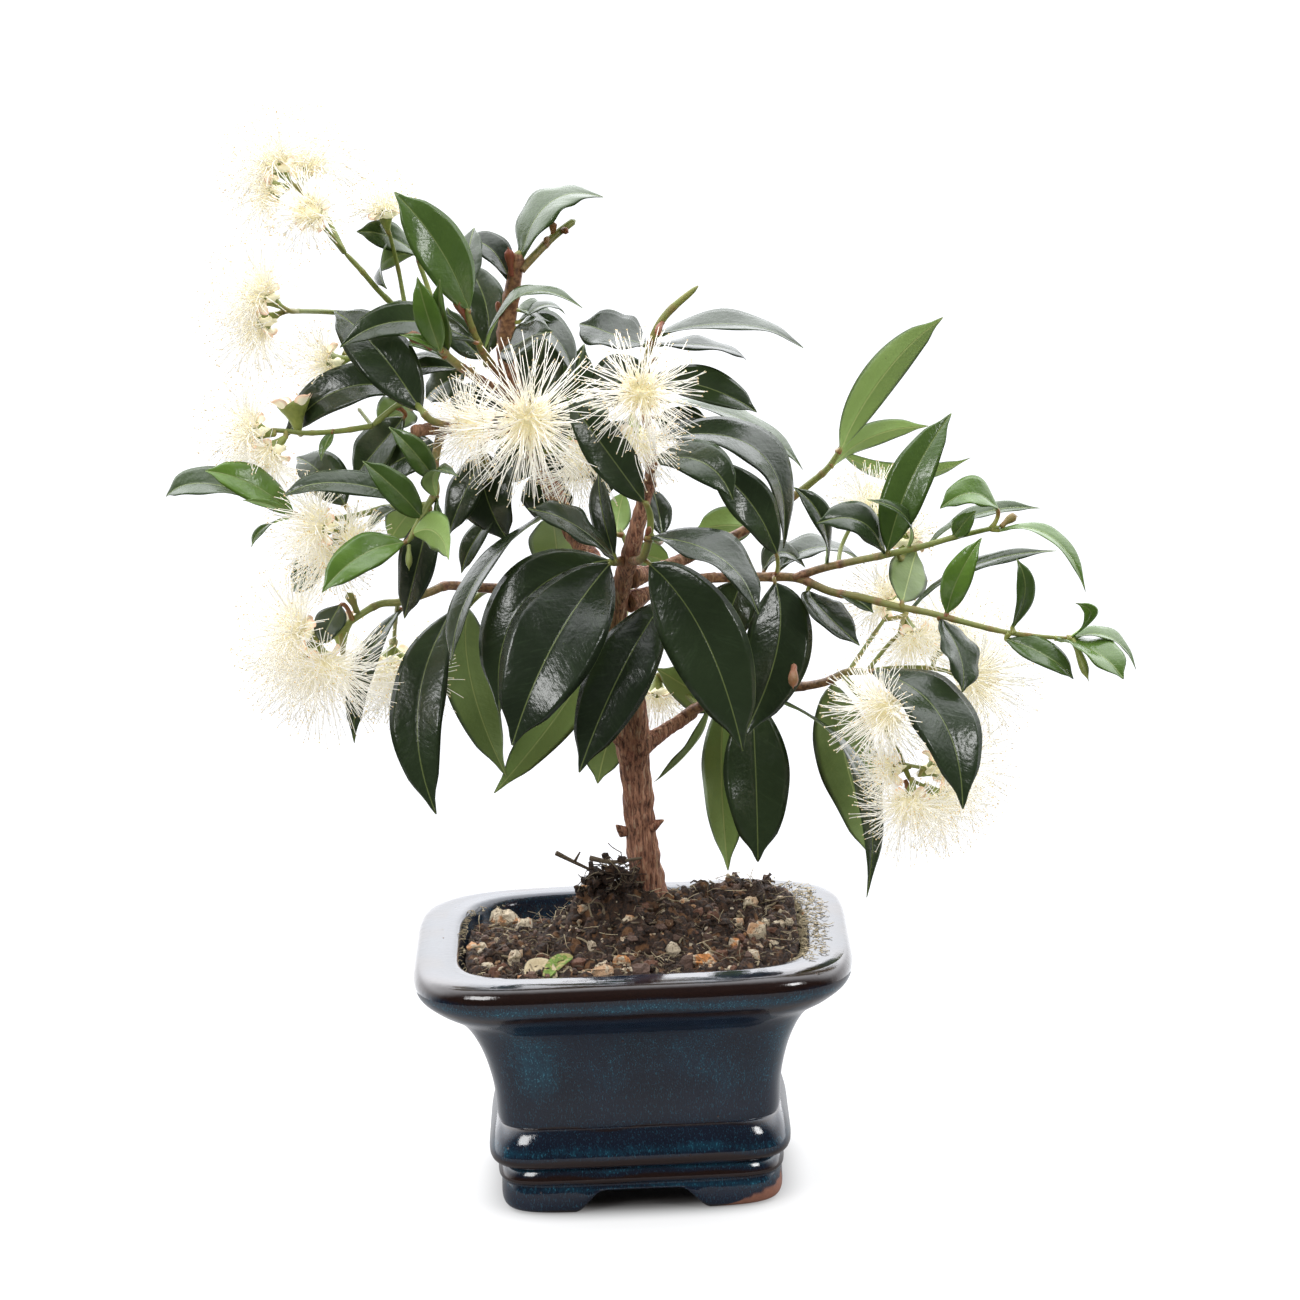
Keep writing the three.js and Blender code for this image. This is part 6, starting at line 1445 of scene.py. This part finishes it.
def cup_skin(piece, mouth, axis, scale, stem_points):
    """Stalk and funnel as one skin. The rim rises by cos 4a into lobes and turns inside to its floor."""
    foot = mouth + axis * CUP_PROFILE[0, 1] * scale
    start = stem_points[np.argmin(((stem_points - foot) ** 2).sum(1))]
    far = np.linalg.norm(start - foot)
    path, ways = bent(start, foot - axis * far * 0.4, foot, np.linspace(0, 1, 10)[:-1])
    side = square_to(UP if abs(axis[2]) < 0.9 else ACROSS, axis)
    other = np.cross(axis, side)
    sides = turned_with(side, axis, ways)
    stalk_radius = np.linspace(0.62, 0.8, len(path))[:, None, None]
    stalk = path[:, None] + spokes(sides, np.cross(ways, sides), CUP_AROUND) * stalk_radius
    lobe = eased(CUP_PROFILE[:, 1], -0.9, 0.9)[:, None] * np.cos(4 * round_angles(CUP_AROUND))
    radius = (CUP_PROFILE[:, :1] + 0.25 * lobe) * scale
    height = (CUP_PROFILE[:, 1:] + 0.5 * lobe) * scale
    cup = mouth + axis * height[..., None] + spokes(side, other, CUP_AROUND) * radius[..., None]
    red = np.concatenate([np.full(len(path), 0.3), np.zeros(len(CUP_PROFILE))])[:, None]
    piece.add(np.concatenate([stalk, cup])[None], red=red)
    return side, other


# %% Twigs: a piece of leaves, a piece of stems and a piece of cups for each
SPENT_SCALE = 1.35


def add_cups(name, rows, cups, points):
    """The cups of a twig. Returns the open and the spent heads: name, mouth, axis, sides and reach."""
    open_heads, spent_heads = [], []
    for at, depth, face, reach in rows:
        mouth, axis = seen_at(at, drawn_out(depth)), unit(np.array(face, float))
        side, other = cup_skin(cups, mouth, axis, 1.0 if reach else SPENT_SCALE, points)
        if reach:
            title = name.replace("twig", "flower") + f"_{len(open_heads) + 1}"
            open_heads.append((title, mouth, axis, side, other, reach))
        else:
            spent_heads.append((name.replace("twig", "spent"), mouth, axis, side, other, reach))
    return open_heads, spent_heads


def make_twigs():
    """Stems, shoots, leaves and cups of every twig. Returns the heads to come and the leaf pieces."""
    heads, spent, foliage, total = [], [], [], 0
    for seed, (name, twig) in enumerate(TWIGS.items()):
        leaves, stems, cups = Piece(name + "_leaves"), Piece(name + "_stems"), Piece(name + "_cups")
        curves = []
        for k, (start, end, route) in enumerate(twig["stems"]):
            route = np.array(route, float)
            path = smooth_curve(seen_at(route[:, :2], drawn_out(route[:, 2])), 9)
            curves.append(path)
            stem_skin(stems, path, start, end, 0.12 + 0.4 * drawn(seed, k, 3.0), seed + 2 * k)
        for shoot in SHOOTS.get(name, []):
            bud_skin(stems, shoot)
        points = np.vstack([path[:-2] for path in curves])
        seen = seen_from_front(points)
        for order, row in enumerate(twig["leaves"]):
            leaf_skin(leaves, row, order, points, seen, seed)
        open_heads, spent_heads = add_cups(name, twig["flowers"], cups, points)
        heads += open_heads
        spent += spent_heads
        stems.make(twig_paint, [name])
        leaves.make(leaf_paint)
        if cups.count:
            cups.make(cup_paint)
        total += stems.triangles + leaves.triangles + cups.triangles
        foliage.append(leaves)
    print("twigs:", total, "triangles,", len(heads), "flower heads")
    return heads + spent, foliage


heads, foliage = make_twigs()

# %% [markdown]
# ## Flower heads
#
# What looks like a puff is a few hundred stamens. They spring from the floor of the cup, rise a
# little along its axis and spread like a burst. Each is a thread with an anther at its end. Small
# round petals lie back under them. Where a leaf is in the way, a stamen leans forward or stops
# short of it. Hair curves would be the quick way, but only meshes go into the file, so the
# threads are three-sided tubes, a third of a millimetre thick, thicker than life so that they show.

# %% Stamens
# Count at no reach and for each mm of it, widest angle, shortest and longest share of the reach,
# spread of the feet, and how far each thread pales on its way
OUTER_STAMENS, INNER_STAMENS = (90, 10, 1.95, 0.72, 1.06, 3.3, 1.0), (0, 4, 1.15, 0.18, 0.44, 2.6, 0.3)
THREAD, ANTHER, PETAL, DISC = 0.0, 1.0, 2.0, 3.0
FINE, THICK, THICK_FROM = 0.142, 0.165, 17.5
HAIR_STEPS, HAIR_AROUND = 4, 3
GOLDEN_ANGLE = 2.39996
LEANS = (0, 0.4, 0.8, 1.4)


def foliage_tree(pieces):
    """The leaves' faces in a tree that finds what a ray meets."""
    points = np.vstack([np.concatenate(p.points) for p in pieces])
    starts = np.cumsum([0] + [p.count for p in pieces[:-1]])
    faces = np.vstack([np.concatenate(p.quads) + first for p, first in zip(pieces, starts)])
    return BVHTree.FromPolygons(points.tolist(), faces.tolist())


def burst(count, axis, widest, seed):
    """Directions over a cap round the axis: the golden angle apart, cos from 1 down to cos widest."""
    draw = np.random.default_rng(seed)
    k = np.arange(count) + 0.5
    cosine = 1 - (1 - math.cos(widest)) * (k / count) ** 0.92
    turn = k * GOLDEN_ANGLE + draw.normal(0, 0.12, count)
    side = square_to(UP if abs(axis[2]) < 0.9 else ACROSS, axis)
    sine = np.sqrt(1 - cosine ** 2)
    ways = (axis * cosine[:, None] + side * (sine * np.cos(turn))[:, None]
            + np.cross(axis, side) * (sine * np.sin(turn))[:, None])
    return unit(ways + draw.normal(0, 0.07, ways.shape))


def kept_clear(tree, centre, axis, ways, length):
    """Leans each stamen toward the axis until no leaf is near, or cuts it off before the leaf."""
    for k in range(len(ways)):
        for lean in LEANS:
            way = unit(ways[k] + axis * lean)
            hit = tree.ray_cast(Vector(centre), Vector(way), length[k] + 0.8)
            if hit[0] is None or hit[3] > 0.75 * length[k]:
                break
        ways[k] = way
        if hit[0] is not None:
            length[k] = max(hit[3] - 0.9, 2.2)


def hairs(start, bend, end, radius, ways):
    """Three-sided tubes along bent curves, many at once, whose radius falls by 35 percent."""
    t = np.linspace(0, 1, HAIR_STEPS)[None, :, None]
    path = (1 - t) ** 2 * start[:, None] + 2 * t * (1 - t) * bend[:, None] + t ** 2 * end[:, None]
    side = square_to(np.roll(ways, 1, axis=1) + 0.01, ways)
    radius = np.reshape(radius * (1 - 0.35 * t[0, :, 0]), (1, -1, 1, 1))
    ring = spokes(side[:, None], np.cross(ways, side)[:, None], HAIR_AROUND)
    return path[:, :, None] + ring * radius, path, t


def add_stamens(piece, tree, head, stamens, seed, draw):
    """Each thread bends from a foot in the cup to its end, centre + way length, with a lump there."""
    _, mouth, axis, _, _, reach = head
    least, each, widest, short, long, foot, pale = stamens
    count = int(least + each * reach)
    centre = mouth + axis * 2.2
    ways = burst(count, axis, widest, seed)
    length = reach * (short + (long - short) * draw.random(count) ** 0.7)
    kept_clear(tree, centre, axis, ways, length)
    around = unit(ways - axis * (ways @ axis)[:, None])
    flat = unit(around + np.cross(axis, ways) * draw.normal(0, 0.5, (count, 1)))
    out = foot * draw.uniform(0.05, 1.0, (count, 1)) ** 0.6
    start = mouth + flat * out - axis * draw.uniform(0, 0.6, (count, 1))
    bend = start + (axis * 0.34 + ways * 0.2 + draw.normal(0, 0.085, (count, 3))) * length[:, None]
    radius = THICK if reach > THICK_FROM else FINE
    skins, path, t = hairs(start, bend, centre + ways * length[:, None], radius, ways)
    piece.add(skins, along=t * pale, kind=THREAD, shade=draw.random((count, 1, 1)))
    anthers = lumps(path[:, -1], draw.uniform(0.2, 0.31, count), 700 + seed, 3, 2)
    piece.add(anthers, along=1.0, kind=ANTHER, shade=draw.random((count, 1, 1)))


# %% Petals and heads
PETAL_ALONG = 9


def add_petals(piece, head, draw):
    """Four cupped lenses of half-width 1.95 sqrt(sin(pi t)), laid back, or upright on a spent cup."""
    _, mouth, axis, side, other, reach = head
    for k in range(4):
        turn = np.pi / 4 + k * np.pi / 2 + draw.normal(0, 0.12)
        out = side * math.cos(turn) + other * math.sin(turn)
        large, lean = (1.0, -draw.uniform(0.1, 0.6)) if reach else (SPENT_SCALE, 0.6)
        foot = mouth + out * 2.6 * large
        tip = foot + (out * 0.8 + axis * lean) * 3.7 * large
        bend = (foot + tip) / 2 + (axis + out * 0.3) * 0.8
        s = np.linspace(0, 1, PETAL_ALONG)
        spine, way = bent(foot, bend, tip, s)
        up = turned_with(square_to(axis - out, way[4]), way[4], way)
        half = 1.95 * large * np.sqrt(np.clip(np.sin(np.pi * (0.06 + 0.9 * s)), 0.01, 1))
        rise = half[:, None] * 0.4 * PETAL_U ** 2
        rings, _, _ = blade_rings(spine, way, up, half, np.full(PETAL_ALONG, 0.14), rise, u=PETAL_U)
        piece.add(rings[None], along=np.maximum(s[:, None], np.abs(PETAL_U)), kind=PETAL, shade=0.5)


def make_heads():
    """Stamens, petals and the disc in the cup of every head, a piece each. Spent ones lack stamens."""
    tree = foliage_tree(foliage)
    total = 0
    for seed, head in enumerate(heads):
        name, mouth, axis, _, _, reach = head
        draw = np.random.default_rng(500 + seed)
        piece = Piece(name + "_stamens")
        if reach:
            add_stamens(piece, tree, head, OUTER_STAMENS, seed, draw)
            add_stamens(piece, tree, head, INNER_STAMENS, seed, draw)
        add_petals(piece, head, draw)
        disc = lumps((mouth - axis * 0.1)[None], np.array([3.0 if reach else 2.2]), 3, 12, 6)
        piece.add(disc, along=0.0, kind=DISC, shade=0.5)
        piece.make(stamen_paint, [name] if reach else [], "stamens")
        total += piece.triangles
    print("flower heads:", total, "triangles")


make_heads()

# %% [markdown]
# ## Stage
#
# The plant stands on a pale floor. The room is white above and behind it, which the glaze and the
# leaves mirror, and two soft windows light it from the front. A sheet of white behind it would do
# the same from the front only, so the light is in the room's own sums. The camera stands where
# the places above were read from.

# %% Floor, light and camera
FLOOR_RADIUS, FLOOR_AROUND, GLOW_NEAR, GLOW_FAR = 0.21, 96, 3.1, 4.9
WINDOW_AIM = (0, 0, 0.15)


def floor_finish():
    """Pale to the eye by a painted glow that rises with (x^4 + y^4)^(1/4) beyond the foot, in
    centimetres, so that close round the foot the floor stays dim as a painted shadow. In the pot's
    mirror it stays dim."""
    p = new_paint("floor")
    own = p.node("ShaderNodeVectorMath", [p.place(), tuple(CENTRE)], operation="SUBTRACT")
    across = p.node("ShaderNodeSeparateXYZ", [own], output="X").size() / 10.0
    deep = p.node("ShaderNodeSeparateXYZ", [own], output="Y").size() / 10.0
    seen = 1.0 - p.node("ShaderNodeLightPath", output="Is Glossy Ray")
    # painted light: the glow lights the floor, and its rise from GLOW_NEAR to GLOW_FAR paints the shadow
    # round the foot
    glow = ((across ** 4 + deep ** 4) ** 0.25).rise(GLOW_NEAR, GLOW_FAR) * 0.72 * seen
    return p.finish(Base_Color=(0.22, 0.22, 0.22, 1), Roughness=0.9, Specular_IOR_Level=0.0,
                    Emission_Color=p.blend(glow, (0, 0, 0, 1), (1, 1, 1, 1)), Emission_Strength=1.0)


def make_floor():
    """A flat disc in metres round the foot of the pot."""
    points = spokes(ACROSS, np.array([0, 1.0, 0]), FLOOR_AROUND) * FLOOR_RADIUS
    mesh = bpy.data.meshes.new("floor")
    mesh.from_pydata(points.tolist(), [], [list(range(FLOOR_AROUND))])
    mesh.materials.append(floor_finish())
    floor = bpy.data.objects.new("floor", mesh)
    bpy.context.scene.collection.objects.link(floor)


def make_room():
    """White behind the plant and above it, dark behind the camera: the strength rises with
    0.85 y + 0.55 z of the direction, times a share that rises with z."""
    world = bpy.data.worlds.new("room")
    bpy.context.scene.world = world
    p = Paint(world, "Background")
    way = p.node("ShaderNodeTexCoord", output="Generated")
    toward = p.node("ShaderNodeVectorMath", [way, (0, 0.85, 0.55)], output="Value", operation="DOT_PRODUCT")
    level = p.node("ShaderNodeSeparateXYZ", [way], output="Z").rise(0.12, 0.5, 0.46, 1.0)
    lit = toward.rise(-0.2, 0.55, 0.08, 4.3) * level
    sight = p.node("ShaderNodeLightPath", output="Is Camera Ray")
    strength = p.node("ShaderNodeMix", {"Factor": sight, "A": lit, "B": 1.3}, output="Result")
    p.finish(Color=(0.955, 0.965, 1, 1), Strength=strength)


def make_window(name, place, width, height, power):
    """A lit rectangle in metres and watts that faces the middle of the crown."""
    light = bpy.data.lights.new(name, "AREA")
    light.shape, light.size, light.size_y, light.energy = "RECTANGLE", width, height, power
    thing = bpy.data.objects.new(name, light)
    thing.location = place
    thing.rotation_euler = (Vector(WINDOW_AIM) - Vector(place)).to_track_quat("-Z", "Y").to_euler()
    bpy.context.scene.collection.objects.link(thing)


def make_camera():
    """The lens is the sensor's width times the focal length in view points over the view's width."""
    camera = bpy.data.cameras.new("camera")
    camera.sensor_width = 36.0
    camera.lens = camera.sensor_width * FOCAL / VIEW_WIDTH
    camera.clip_end = 20.0
    thing = bpy.data.objects.new("camera", camera)
    turn = Matrix([VIEW_RIGHT, VIEW_UP, TO_VIEWER]).transposed().to_4x4()
    thing.matrix_world = Matrix.Translation(Vector((EYE + CENTRE) * MM)) @ turn
    bpy.context.scene.collection.objects.link(thing)
    bpy.context.scene.camera = thing


make_floor()
make_room()
make_window("window_left", (-0.8, -1.0, 0.72), 0.46, 0.46, 9.0)
make_window("window_right", (0.85, -0.9, 0.66), 0.3, 0.32, 5.5)
make_camera()
bpy.context.scene.view_settings.view_transform = "Standard"
print("windows: 2, lens:", round(bpy.context.scene.camera.data.lens, 1), "mm")
